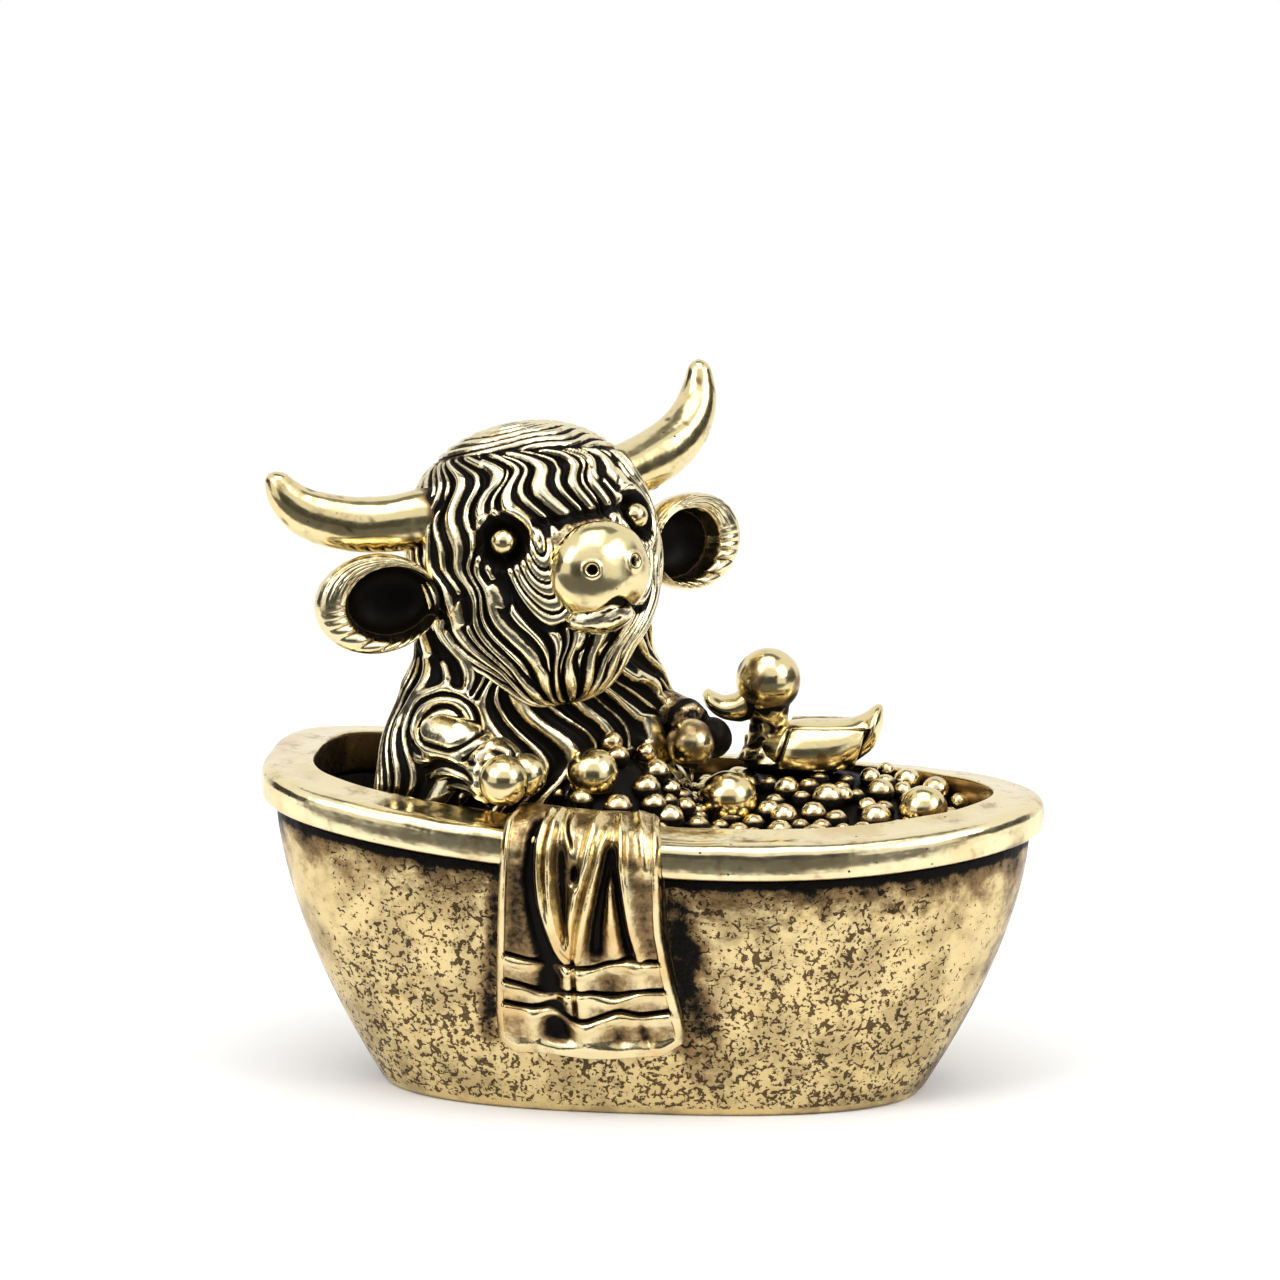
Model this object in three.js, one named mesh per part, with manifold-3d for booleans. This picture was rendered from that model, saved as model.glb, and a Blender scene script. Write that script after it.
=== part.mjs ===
// A small brass ornament: a long-haired cow sitting in a bathtub full of foam, with a toy duck afloat
// in front of it and a towel hung over the side of the tub. Millimetres, +Z up, the tub's long axis
// along X, the towel on the -Y side. The origin is the middle of the flat foot that the tub stands on.
import * as THREE from "three";
import { mergeVertices } from "three/addons/utils/BufferGeometryUtils.js";
import Module from "manifold-3d";

// Clearance between castings that are soldered together.
const SEAT_GAP = 0.1;

// Tub: an oval cup, squarer and higher at its head end (-X), whose wall swells out from the foot. The
// wall's top edge sweeps up towards both ends.
const TUB_LENGTH = 36.6;
const TUB_WIDTH = 18.8;
const TUB_HEIGHT = 12.4;
const TUB_SQUARENESS = 2.55;
const HEAD_END_SQUARENESS = 0.6;
const HEAD_END_RISE = 0.78;
const END_SWEEP = 1.19;
const TUB_SWELL = 1.6;
const TUB_FLOOR = 1.6;
const TUB_SHELL = 2.4;
const FOOT_LENGTH = 26.5;
const FOOT_WIDTH = 13.8;
const FOOT_EDGE = 0.25;

// Rolled rim that caps the wall and stands out beyond it.
const RIM_OVERHANG = 0.7;
const RIM_LENGTH = TUB_LENGTH + 2 * RIM_OVERHANG;
const RIM_WIDTH = TUB_WIDTH + 2 * RIM_OVERHANG;
const RIM_BAND = 2.5;
const RIM_HEIGHT = 2.05;
const RIM_SHOULDER = 1.0;
const RIM_CROWN_DROP = 0.25;
const RIM_LIP_RADIUS = 0.45;

// Foam: a plate inside the tub with heaps on it, against the cow's chest and under the duck. Small
// bubbles cover it from FOAM_START on, clear of the hollow behind the cow.
const FOAM_RISE = 0.7;
const FOAM_LEVEL = TUB_HEIGHT + FOAM_RISE;
const FOAM_THICKNESS = 2.3;
const CHEST_HEAP = { x: -1.9, y: -2.4, radius: 6.0, height: 3.9 };
const DUCK_HEAP_RADIUS = 8.0;
const FOAM_START = -7;
const BUBBLE_COUNT = 48;
const BUBBLE_RADIUS = 0.8;
const BUBBLE_VARIATION = 0.3;
const BUBBLE_RISE = 0.1;
const CHEST_BUBBLE = { x: -2.5, y: -4.3, rise: 3.1, radius: 1.26 };
const MIDDLE_BUBBLE = { x: 3.7, y: -0.6, rise: 1.1, radius: 1.41 };
const FAR_BUBBLE = { x: 13.2, y: -0.6, rise: 0.85, radius: 1.17 };

// Cow: its seat in the foam and the way it faces. Its own frame has +X to its left and -Y ahead.
const COW_X = -5.9;
const COW_Y = 0.1;
const COW_TURN = 34;
const SHOULDER_WIDTH = 16.8;
const CHEST_DEPTH = 10.2;
const WITHERS_HEIGHT = 8.8;
const TRUNK_SQUARENESS = 2.7;
const TRUNK_SEAT = 1.2;
const TRUNK_LOCKS = 20;
const TRUNK_SLANT = 1.3;

// Coat: long wavy locks with furrows between them. A lock comes in from the right, swings aside and back
// in waves that start LOCK_WAVE long and stretch on the way down, and differs a little in width from its
// neighbours. Sways, sweeps and drifts are in lock widths.
const LOCK_DEPTH = 0.4;
const LOCK_EDGE = 0.25;
const LOCK_WAVE = 2.9;
const LOCK_STRETCH = 0.12;
const LOCK_SWAY = 0.24;
const LOCK_SWEEP = 0.8;
const LOCK_SWEEP_LENGTH = 1.5;
const LOCK_LAG_TURNS = 2;
const LOCK_DRIFT = 0.18;
const LOCK_DRIFT_TURNS = 8;
const LOCK_DRIFT_WAVE = 11;

// Head: a ball of hair from the crown to the point of the beard, carried over the chest.
const HEAD_LIFT = 13.1;
const HEAD_NOD = 4;
const HEAD_ROLL = 5;
const HEAD_WIDTH = 12.7;
const HEAD_DEPTH = 11.4;
const HEAD_SQUARENESS = 2.2;
const CROWN_HEIGHT = 6.3;
const BEARD_DROP = 6.8;
const BEARD_REACH = 2.2;
const BEARD_ASIDE = -1.0;
const HEAD_LOCKS = 23;
const CROWN_TILT = 12;

// The fringe starts at a parting that rings the crown, lower on the right than on the left.
const PARTING_ANGLE = 47;
const PARTING_TILT = 9;
const PARTING_TURN = 11;

// Muzzle with its nostrils, and the lower lip under it.
const MUZZLE_WIDTH = 4.9;
const MUZZLE_HEIGHT = 3.8;
const MUZZLE_DEPTH = 3.6;
const MUZZLE_REACH = 6.4;
const MUZZLE_RISE = -0.5;
const NOSTRIL_RADIUS = 0.24;
const NOSTRIL_SPACING = 2.3;
const NOSTRIL_RISE = 0.45;
const NOSTRIL_DEPTH = 0.7;
const LIP_WIDTH = 3.0;
const LIP_HEIGHT = 1.5;
const LIP_DEPTH = 2.6;
const LIP_DROP = 1.9;

// Eyes: plain balls in the bottom of round sockets.
const EYE_RADIUS = 0.64;
const SOCKET_RADIUS = 1.3;
const SOCKET_DEPTH = 1.0;
const EYE_BEARING = 40;
const EYE_ELEVATION = 15;

// Horns. The figure is hand-made, and its two horns differ: the left one stands up more steeply.
const HORN_RADIUS = 1.4;
const HORN_TIP_RADIUS = 0.45;
const HORN_ROOT_SPREAD = 4.0;
const HORN_ROOT_RISE = 2.7;
const HORN_SPRING = 0.62;
const LEFT_HORN = { spread: 11.2, rise: 7.4, back: 2.2, bow: 0.4 };
const RIGHT_HORN = { spread: 11.9, rise: 5.7, back: 2.6, bow: -0.9 };

// Ears: thick cups that open forwards. The right one stands out further.
const EAR_LENGTH = 6.0;
const EAR_HEIGHT = 4.8;
const EAR_DEPTH = 3.3;
const EAR_WALL = 0.7;
const EAR_HOLLOW_AHEAD = 0.9;
const LEFT_EAR_REACH = 8.2;
const RIGHT_EAR_REACH = 8.7;
const EAR_DROP = 1.0;
const EAR_TURN = 15;

// Forelegs, laid out over the foam, with cloven hooves.
const SHOULDER_INSET = 3.0;
const SHOULDER_SPREAD = SHOULDER_WIDTH / 2 - SHOULDER_INSET;
const SHOULDER_LIFT = 4.1;
const SHOULDER_ROUNDING = 0.5;
const FORELEG_RADIUS = 2.3;
const WRIST_RADIUS = 1.15;
const LEFT_REACH = { spread: 7.1, ahead: 3.4, lift: 3.7 };
const RIGHT_REACH = { spread: 4.3, ahead: 5.9, lift: 3.6 };
const HOOF_LENGTH = 2.4;
const HOOF_HEIGHT = 2.4;
const TOE_WIDTH = 1.6;
const TOE_SPACING = 1.45;

// Duck: its place on the foam and its build. Its own frame has -X ahead.
const DUCK_X = 7.45;
const DUCK_Y = 4.1;
const DUCK_RISE = 1.8;
const DUCK_TURN = 4;
const DUCK_LENGTH = 6.9;
const DUCK_WIDTH = 4.0;
const DUCK_HEIGHT = 2.3;
const DUCK_DRAUGHT = 0.6;
const DUCK_TAIL_HEIGHT = 3.1;
const DUCK_TAIL_THICKNESS = 1.8;
const DUCK_HEAD_RADIUS = 1.6;
const DUCK_HEAD_AHEAD = 2.25;
const DUCK_HEAD_LIFT = 4.3;
const DUCK_NECK_RADIUS = 1.2;
const WING_LENGTH = 3.6;
const WING_HEIGHT = 1.5;
const WING_LIFT = 1.2;
const WING_SLANT = 0.6;
const WING_RELIEF = 0.3;
const BILL_LENGTH = 1.7;
const BILL_WIDTH = 1.8;
const BILL_THICKNESS = 0.9;
const BILL_DROP = 0.9;
const BILL_TILT = 8;

// Towel: a thick cloth, cast in brass, that hangs over the front of the rim.
const TOWEL_X = -2.3;
const TOWEL_TOP_WIDTH = 7.6;
const TOWEL_HEM_WIDTH = 9.4;
const TOWEL_HEM_LIFT = 3.4;
const TOWEL_THICKNESS = 0.5;
const TOWEL_GAP = 0.15;
const TOWEL_TUCK = 0.7;
const TOWEL_FOLDS = 3;
const TOWEL_FOLD_DEPTH = 0.5;
const TOWEL_BORDER = 0.8;
const TOWEL_BORDER_RELIEF = 0.25;
const TOWEL_STRIPES = [8.0, 6.3, 5.2];
const TOWEL_STRIPE_WIDTH = 0.4;
const TOWEL_STRIPE_DEPTH = 0.22;

// Facets round the tub, the small shapes and the small bubbles, and rings of points down the coat.
const TUB_FACETS = 36;
const FINE_FACETS = 12;
const BUBBLE_FACETS = 6;
const HEAD_RINGS = 14;
const TRUNK_RINGS = 9;

const polished = { color: 0xcdb67a, roughness: 0.22, metalness: 1 };
const antiqued = { color: 0x94804d, roughness: 0.38, metalness: 1 };
const satin = { color: 0xb79c60, roughness: 0.5, metalness: 1 };

const { degToRad, inverseLerp, lerp } = THREE.MathUtils;
const wasm = await Module();
wasm.setup();

// A closed geometry as a solid that can be cut and joined.
function solidOf(geometry) {
  const bare = new THREE.BufferGeometry();
  bare.setAttribute("position", geometry.getAttribute("position"));
  bare.setIndex(geometry.index);
  const merged = mergeVertices(bare, 1e-4);
  const vertProperties = Float32Array.from(merged.attributes.position.array);
  const triVerts = Uint32Array.from(merged.index.array);
  return new wasm.Manifold(new wasm.Mesh({ numProp: 3, vertProperties, triVerts }));
}

// The largest body of a solid as a geometry again.
function geometryOf(solid) {
  const [body] = solid.decompose().sort((a, b) => b.volume() - a.volume());
  const mesh = body.getMesh();
  const geometry = new THREE.BufferGeometry();
  geometry.setAttribute("position", new THREE.BufferAttribute(mesh.vertProperties, 3));
  geometry.setIndex(new THREE.BufferAttribute(mesh.triVerts, 1));
  return geometry;
}

function cut(geometry, ...tools) {
  return geometryOf(tools.reduce((rest, tool) => rest.subtract(solidOf(tool)), solidOf(geometry)));
}

function common(first, second) {
  return geometryOf(solidOf(first).intersect(solidOf(second)));
}

function join(...geometries) {
  return geometryOf(geometries.map(solidOf).reduce((whole, piece) => whole.add(piece)));
}

function meshFrom(points, faces) {
  const geometry = new THREE.BufferGeometry().setFromPoints(points);
  return geometry.setIndex(faces);
}

// The two triangles between neighbours k and k + 1 on two rings of equally many points.
function band(count, lower, upper, k) {
  const next = (k + 1) % count;
  return [lower + k, lower + next, upper + next, lower + k, upper + next, upper + k];
}

// A closed skin over rings that rise from one end to the other, each end closed by a fan to a point.
function skin(rings, start = middleOf(rings[0]), end = middleOf(rings.at(-1))) {
  const count = rings[0].length;
  const points = [...rings.flat(), start, end];
  const faces = [];
  for (let k = 0; k < count; k += 1) {
    const next = (k + 1) % count;
    const top = (rings.length - 1) * count;
    rings.slice(1).forEach((_, r) => faces.push(...band(count, r * count, (r + 1) * count, k)));
    faces.push(next, k, points.length - 2);
    faces.push(top + k, top + next, points.length - 1);
  }
  return meshFrom(points, faces);
}

// A closed skin over rings that come round to the first one again, as on a hoop.
function hoop(rings) {
  const count = rings[0].length;
  const faces = [];
  rings.forEach((_, r) => {
    const upper = ((r + 1) % rings.length) * count;
    for (let k = 0; k < count; k += 1) faces.push(...band(count, r * count, upper, k));
  });
  return meshFrom(rings.flat(), faces);
}

// A closed skin over slices that follow each other along X, with each end filled in.
function slab(slices) {
  const count = slices[0].length;
  const last = (slices.length - 1) * count;
  const faces = [];
  slices.slice(1).forEach((_, r) => {
    for (let k = 0; k < count; k += 1) faces.push(...band(count, r * count, (r + 1) * count, k));
  });
  const outline = (slice) => slice.map((point) => new THREE.Vector2(point.y, point.z));
  THREE.ShapeUtils.triangulateShape(outline(slices[0]), []).forEach(([a, b, c]) => faces.push(c, b, a));
  THREE.ShapeUtils.triangulateShape(outline(slices.at(-1)), []).forEach(([a, b, c]) => {
    faces.push(last + a, last + b, last + c);
  });
  return meshFrom(slices.flat(), faces);
}

function middleOf(points) {
  const sum = points.reduce((total, point) => total.add(point), new THREE.Vector3());
  return sum.divideScalar(points.length);
}

// Angles evenly round a circle.
function anglesRound(count) {
  return Array.from({ length: count }, (_, k) => (2 * Math.PI * k) / count);
}

// An ellipsoid from its full sizes, with its poles up and down.
function ellipsoid(width, depth, height) {
  const ball = new THREE.SphereGeometry(0.5, FINE_FACETS, FINE_FACETS / 2).rotateX(Math.PI / 2);
  return ball.scale(width, depth, height);
}

const ballOf = (radius) => ellipsoid(2 * radius, 2 * radius, 2 * radius);

// A round tube along a curve, whose radius changes from one end to the other.
function taperedTube(curve, radiusAt, grow, steps) {
  const frames = curve.computeFrenetFrames(steps, false);
  const rings = frames.tangents.map((tangent, k) => {
    const centre = curve.getPointAt(k / steps);
    if (k === 0) centre.addScaledVector(tangent, -grow);
    if (k === steps) centre.addScaledVector(tangent, grow);
    return anglesRound(FINE_FACETS).map((angle) =>
      centre
        .clone()
        .addScaledVector(frames.normals[k], Math.cos(angle) * (radiusAt(k / steps) + grow))
        .addScaledVector(frames.binormals[k], Math.sin(angle) * (radiusAt(k / steps) + grow)),
    );
  });
  return skin(rings);
}

// Tub, rim and foam.

// Height of the wall's top edge, which slopes along the tub and sweeps up at both ends.
function topEdge(x) {
  const share = x / (RIM_LENGTH / 2);
  return TUB_HEIGHT - HEAD_END_RISE * share + END_SWEEP * share ** 2;
}

// A point of the oval at an angle from +X. A swell of 1 makes its -X end squarer than the other.
function ovalPoint(angle, length, width, swell) {
  const power = 2 / (TUB_SQUARENESS - HEAD_END_SQUARENESS * swell * Math.cos(angle));
  const share = (value) => Math.sign(value) * Math.abs(value) ** power;
  return new THREE.Vector2((length / 2) * share(Math.cos(angle)), (width / 2) * share(Math.sin(angle)));
}

// The y of the oval's towel side at a given x, found by halving the angle's range.
function frontOf(x, length, width, swell) {
  let [left, right] = [-Math.PI, 0];
  for (let halvings = 0; halvings < 24; halvings += 1) {
    const middle = (left + right) / 2;
    if (ovalPoint(middle, length, width, swell).x < x) left = middle;
    else right = middle;
  }
  return ovalPoint(left, length, width, swell).y;
}

// Length, width and swell of the tub's outside at a share of its height.
function wallSize(share, inset) {
  const swell = 1 - (1 - Math.min(share, 1)) ** TUB_SWELL;
  return [
    lerp(FOOT_LENGTH, TUB_LENGTH, swell) - 2 * inset,
    lerp(FOOT_WIDTH, TUB_WIDTH, swell) - 2 * inset,
    swell,
  ];
}

function ovalRing(length, width, swell, heightAt) {
  return anglesRound(TUB_FACETS).map((angle) => {
    const point = ovalPoint(angle, length, width, swell);
    return new THREE.Vector3(point.x, point.y, heightAt(point.x));
  });
}

// The tub's outside as a full solid, grown outwards by a clearance.
function tubOutside(grow) {
  const shares = [0.1, 0.22, 0.38, 0.56, 0.77, 1];
  const rings = shares.map((share) => ovalRing(...wallSize(share, -grow), (x) => share * topEdge(x)));
  const edge = ovalRing(...wallSize(FOOT_EDGE / TUB_HEIGHT, -grow), () => FOOT_EDGE);
  const foot = ovalRing(...wallSize(0, FOOT_EDGE - grow), () => 0);
  return skin([foot, edge, ...rings]);
}

// The straight well at the top, as wide as the rim's opening, which the foam plate drops into.
const OPENING = [RIM_LENGTH - 2 * RIM_BAND, RIM_WIDTH - 2 * RIM_BAND];
const LEDGE_HEIGHT = FOAM_LEVEL - FOAM_THICKNESS - SEAT_GAP;

function foamWell(inset, bottom, top) {
  const size = [OPENING[0] - 2 * inset, OPENING[1] - 2 * inset, 1];
  return skin([ovalRing(...size, () => bottom), ovalRing(...size, () => top)]);
}

function tubShell() {
  const shares = [TUB_FLOOR / TUB_HEIGHT, 0.4, LEDGE_HEIGHT / TUB_HEIGHT];
  const hollow = shares.map((share) =>
    ovalRing(...wallSize(share, TUB_SHELL), () => share * TUB_HEIGHT),
  );
  const mouth = ovalRing(...wallSize(shares.at(-1), TUB_SHELL), () => FOAM_LEVEL);
  const well = foamWell(0, LEDGE_HEIGHT, 2 * TUB_HEIGHT);
  return cut(tubOutside(0), skin([...hollow, mouth]), well, rimHoop(SEAT_GAP));
}

// The rim's outline from its lower outer edge, up over the crown and back under. x is the inset from
// the rim's outermost line, y the height over the wall's top.
function rimOutline(grow) {
  const crown = RIM_HEIGHT - RIM_CROWN_DROP + grow;
  const shape = new THREE.Shape();
  shape.moveTo(RIM_LIP_RADIUS, -grow);
  shape.quadraticCurveTo(-grow, -grow, -grow, RIM_LIP_RADIUS);
  shape.lineTo(-grow, RIM_HEIGHT - RIM_SHOULDER);
  shape.quadraticCurveTo(-grow, crown, RIM_SHOULDER, crown);
  shape.lineTo(RIM_BAND + grow, RIM_HEIGHT + grow);
  shape.lineTo(RIM_BAND + grow, -grow);
  return shape.getPoints(3);
}

function rimHoop(grow) {
  const rings = rimOutline(grow).map(({ x: inset, y: height }) => {
    const size = [RIM_LENGTH - 2 * inset, RIM_WIDTH - 2 * inset, 1];
    return ovalRing(...size, (x) => topEdge(x) + SEAT_GAP + height);
  });
  return hoop(rings);
}

// Height of a heap of foam over the plate's level.
function heapHeight({ x: middleX, y: middleY, radius, height }, x, y) {
  const share = Math.min(1, Math.hypot(x - middleX, y - middleY) / radius);
  return height * Math.cos((share * Math.PI) / 2) ** 2;
}

const DUCK_HEAP = { x: DUCK_X, y: DUCK_Y, radius: DUCK_HEAP_RADIUS, height: DUCK_RISE };
const HEAPS = [CHEST_HEAP, DUCK_HEAP];
const heapAt = (x, y) => Math.max(...HEAPS.map((heap) => heapHeight(heap, x, y)));

function foamHeap(heap) {
  const shares = [1, 0.75, 0.5, 0.25];
  const rings = shares.map((share) =>
    anglesRound(FINE_FACETS).map((angle) => {
      const x = heap.x + share * heap.radius * Math.cos(angle);
      const y = heap.y + share * heap.radius * Math.sin(angle);
      return new THREE.Vector3(x, y, FOAM_LEVEL + heapHeight(heap, x, y));
    }),
  );
  const sunk = rings[0].map((point) => point.clone().setZ(FOAM_LEVEL - FOAM_THICKNESS / 2));
  return skin([sunk, ...rings]);
}

// A bubble from a little under its middle up, as the rest of it is sunk in the foam.
function bubbleOf(radius) {
  const rings = [-25, 20, 58].map(degToRad).map((climb) =>
    anglesRound(BUBBLE_FACETS).map((angle) =>
      new THREE.Vector3(Math.cos(angle), Math.sin(angle), Math.tan(climb)).multiplyScalar(
        radius * Math.cos(climb),
      ),
    ),
  );
  return skin(rings, middleOf(rings[0]), new THREE.Vector3(0, 0, radius));
}

// Small bubbles in a sunflower spiral over the foam: evenly spread, and uneven in size.
function smallBubbles() {
  const bubbles = Array.from({ length: BUBBLE_COUNT }, (_, k) => {
    const radius = BUBBLE_RADIUS * (1 + BUBBLE_VARIATION * Math.sin(12.9 * k));
    const reach = Math.sqrt((k + 0.5) / BUBBLE_COUNT);
    const angle = k * Math.PI * (3 - Math.sqrt(5));
    const [length, width] = OPENING.map((size) => reach * (size - 2 * radius - 2 * SEAT_GAP));
    return { ...ovalPoint(angle, length, width, 1), radius };
  });
  return bubbles
    .filter(({ x }) => x > FOAM_START)
    .map(({ x, y, radius }) => {
      const z = FOAM_LEVEL + heapAt(x, y) + BUBBLE_RISE * radius;
      return bubbleOf(radius).translate(x, y, z);
    });
}

function largeBubble({ x, y, rise, radius }, grow) {
  return ballOf(radius + grow).translate(x, y, FOAM_LEVEL + rise);
}

// Cow.

// The bearing of a lock's line at a length down the coat, from the front towards the left.
function lockBearing(number, locks, fall) {
  const wave = (turns, count) => Math.sin(2 * Math.PI * (turns + (count * number) / locks));
  const swing = LOCK_SWAY * wave(fall / (LOCK_WAVE + LOCK_STRETCH * fall), LOCK_LAG_TURNS);
  const drift = LOCK_DRIFT * wave(fall / LOCK_DRIFT_WAVE, LOCK_DRIFT_TURNS);
  const sweep = LOCK_SWEEP * Math.max(0, 1 - fall / LOCK_SWEEP_LENGTH) ** 2;
  return ((2 * Math.PI) / locks) * (number + swing + drift - sweep);
}

// One ring of hair, in which every lock is a flat ridge between two furrows.
function lockRing(locks, fall, pointAt) {
  return Array.from({ length: 3 * locks }, (_, k) => {
    const across = [0, LOCK_EDGE, 1 - LOCK_EDGE][k % 3];
    const bearing = lockBearing(Math.floor(k / 3) + across, locks, fall);
    return pointAt(bearing, k % 3 === 0 ? LOCK_DEPTH : 0);
  });
}

function plainRing(pointAt) {
  return anglesRound(TUB_FACETS).map((bearing) => pointAt(bearing, 0));
}

// A point of the trunk by its bearing and its share of the height, drawn in by an inset. The trunk is a
// shaggy dome over the foam.
function trunkPoint(bearing, share, inset) {
  const climb = Math.asin(share ** (TRUNK_SQUARENESS / 2));
  const reach = Math.cos(climb) ** (2 / TRUNK_SQUARENESS);
  return new THREE.Vector3(
    (SHOULDER_WIDTH / 2 - inset) * reach * Math.sin(bearing),
    -(CHEST_DEPTH / 2 - inset) * reach * Math.cos(bearing),
    (WITHERS_HEIGHT - Math.min(0, inset)) * share,
  );
}

// The trunk over the plain seat that goes down into the foam, with its rings made by ringAt.
function trunk(grow, ringAt) {
  const shares = Array.from({ length: TRUNK_RINGS }, (_, k) => k / TRUNK_RINGS);
  const rings = shares.map(ringAt);
  const seat = rings[0].map((point) => point.clone().setZ(-TRUNK_SEAT - grow));
  return skin([seat, ...rings], middleOf(seat), new THREE.Vector3(0, 0, WITHERS_HEIGHT + grow));
}

function trunkRoom(grow) {
  return trunk(grow, (share) => plainRing((bearing) => trunkPoint(bearing, share, -grow)));
}

function trunkHair() {
  const ringAt = (share) => {
    const fall = (1 - share) * WITHERS_HEIGHT * TRUNK_SLANT;
    return lockRing(TRUNK_LOCKS, fall, (bearing, inset) => trunkPoint(bearing, share, inset));
  };
  return trunk(0, ringAt);
}

// A point of the ball of hair round the head, by its bearing from the face and its angle down from the
// crown, drawn in by an inset. The ball runs out into the beard.
function headPoint(bearing, down, inset) {
  const reach = Math.sin(down) ** (2 / HEAD_SQUARENESS);
  const rise = Math.sign(Math.cos(down)) * Math.abs(Math.cos(down)) ** (2 / HEAD_SQUARENESS);
  const low = Math.max(0, -rise) ** 2;
  return new THREE.Vector3(
    (HEAD_WIDTH / 2 - inset) * reach * Math.sin(bearing) + BEARD_ASIDE * low,
    -(HEAD_DEPTH / 2 - inset) * reach * Math.cos(bearing) - BEARD_REACH * low,
    rise * ((rise < 0 ? BEARD_DROP : CROWN_HEIGHT) - Math.min(0, inset)),
  );
}

function headSkin(rings, grow) {
  const beard = new THREE.Vector3(BEARD_ASIDE, -BEARD_REACH, -BEARD_DROP - grow);
  const crown = new THREE.Vector3(0, 0, CROWN_HEIGHT + grow);
  return skin(rings, beard, crown).rotateX(degToRad(-CROWN_TILT));
}

function headRoomBall(grow) {
  const steps = Array.from({ length: HEAD_RINGS }, (_, k) => Math.PI * (1 - (k + 1) / (HEAD_RINGS + 1)));
  return headSkin(steps.map((down) => plainRing((bearing) => headPoint(bearing, down, -grow))), grow);
}

// Angle down from the crown to the parting at a bearing.
function parting(bearing) {
  return degToRad(PARTING_ANGLE + PARTING_TILT * Math.sin(bearing - degToRad(PARTING_TURN)));
}

// The hair: locks from the parting's groove down to the beard, and a smooth cap over the crown.
function headHair() {
  const length = ((Math.PI - degToRad(PARTING_ANGLE)) * HEAD_WIDTH) / 2;
  const locksAt = (share) =>
    lockRing(HEAD_LOCKS, share * length, (bearing, inset) => {
      const down = lerp(parting(bearing), Math.PI, share);
      return headPoint(bearing, down, inset * Math.sin(down));
    });
  const capAt = (share, inset) =>
    lockRing(HEAD_LOCKS, 0, (bearing) => headPoint(bearing, share * parting(bearing), inset));
  const hair = Array.from({ length: HEAD_RINGS }, (_, k) => locksAt(1 - (k + 1) / (HEAD_RINGS + 1)));
  return headSkin([...hair, locksAt(0.03), capAt(1, LOCK_DEPTH), capAt(0.94, 0), capAt(0.5, 0)], 0);
}

function muzzleBall(grow) {
  const size = [MUZZLE_WIDTH, MUZZLE_DEPTH, MUZZLE_HEIGHT].map((full) => full + 2 * grow);
  return ellipsoid(...size).translate(0, -MUZZLE_REACH, MUZZLE_RISE);
}

function muzzle() {
  const nostrils = [-1, 1].map((side) => {
    const drill = new THREE.CylinderGeometry(NOSTRIL_RADIUS, NOSTRIL_RADIUS, MUZZLE_DEPTH, 10);
    const tip = -MUZZLE_REACH - MUZZLE_DEPTH + NOSTRIL_DEPTH;
    return drill.translate((side * NOSTRIL_SPACING) / 2, tip, MUZZLE_RISE + NOSTRIL_RISE);
  });
  return cut(muzzleBall(0), ...nostrils);
}

function lipBall(grow) {
  const size = [LIP_WIDTH, LIP_DEPTH, LIP_HEIGHT].map((full) => full + 2 * grow);
  return ellipsoid(...size).translate(0, -MUZZLE_REACH, MUZZLE_RISE - LIP_DROP);
}

// A point on or under the head's surface, where an eye's centre line meets it.
function eyePlace(side, depth) {
  const bearing = degToRad(side * EYE_BEARING);
  const elevation = degToRad(EYE_ELEVATION);
  const out = new THREE.Vector3(
    Math.sin(bearing) * Math.cos(elevation),
    -Math.cos(bearing) * Math.cos(elevation),
    Math.sin(elevation),
  );
  const stretch = out.clone().divide(new THREE.Vector3(HEAD_WIDTH, HEAD_DEPTH, 2 * CROWN_HEIGHT));
  return out.multiplyScalar(0.5 / stretch.length() - depth);
}

const placed = (geometry, point) => geometry.translate(point.x, point.y, point.z);
const socket = (side) => placed(ballOf(SOCKET_RADIUS), eyePlace(side, SOCKET_DEPTH - SOCKET_RADIUS));

function eyeBall(side) {
  return placed(ballOf(EYE_RADIUS), eyePlace(side, SOCKET_DEPTH - EYE_RADIUS - SEAT_GAP));
}

// A horn springs level from its root in the head and then curls up to a blunt tip.
function horn(side, { spread, rise, back, bow }, grow) {
  const at = (out, behind, up) => new THREE.Vector3(side * out, behind, up);
  const curve = new THREE.CubicBezierCurve3(
    at(HORN_ROOT_SPREAD, 0, HORN_ROOT_RISE),
    at(lerp(HORN_ROOT_SPREAD, spread, HORN_SPRING), back / 2, HORN_ROOT_RISE + bow),
    at(spread, back, lerp(HORN_ROOT_RISE, rise, 1 / 4)),
    at(spread, back, rise),
  );
  const radiusAt = (share) => lerp(HORN_RADIUS, HORN_TIP_RADIUS, share ** 3) * (1 - share ** 16 / 2);
  return taperedTube(curve, radiusAt, grow, 10);
}

// An ear's outer form in the head's frame, drawn in by the wall thickness for its hollow.
function earForm(side, reach, inset, forward) {
  const size = [EAR_LENGTH, EAR_DEPTH, EAR_HEIGHT].map((full) => full - 2 * inset);
  const form = ellipsoid(...size).translate(0, -forward, 0).rotateZ(degToRad(side * EAR_TURN));
  return form.translate(side * reach, 0, -EAR_DROP);
}

function ear(side, reach) {
  return cut(earForm(side, reach, 0, 0), earForm(side, reach, EAR_WALL, EAR_HOLLOW_AHEAD));
}

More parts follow.
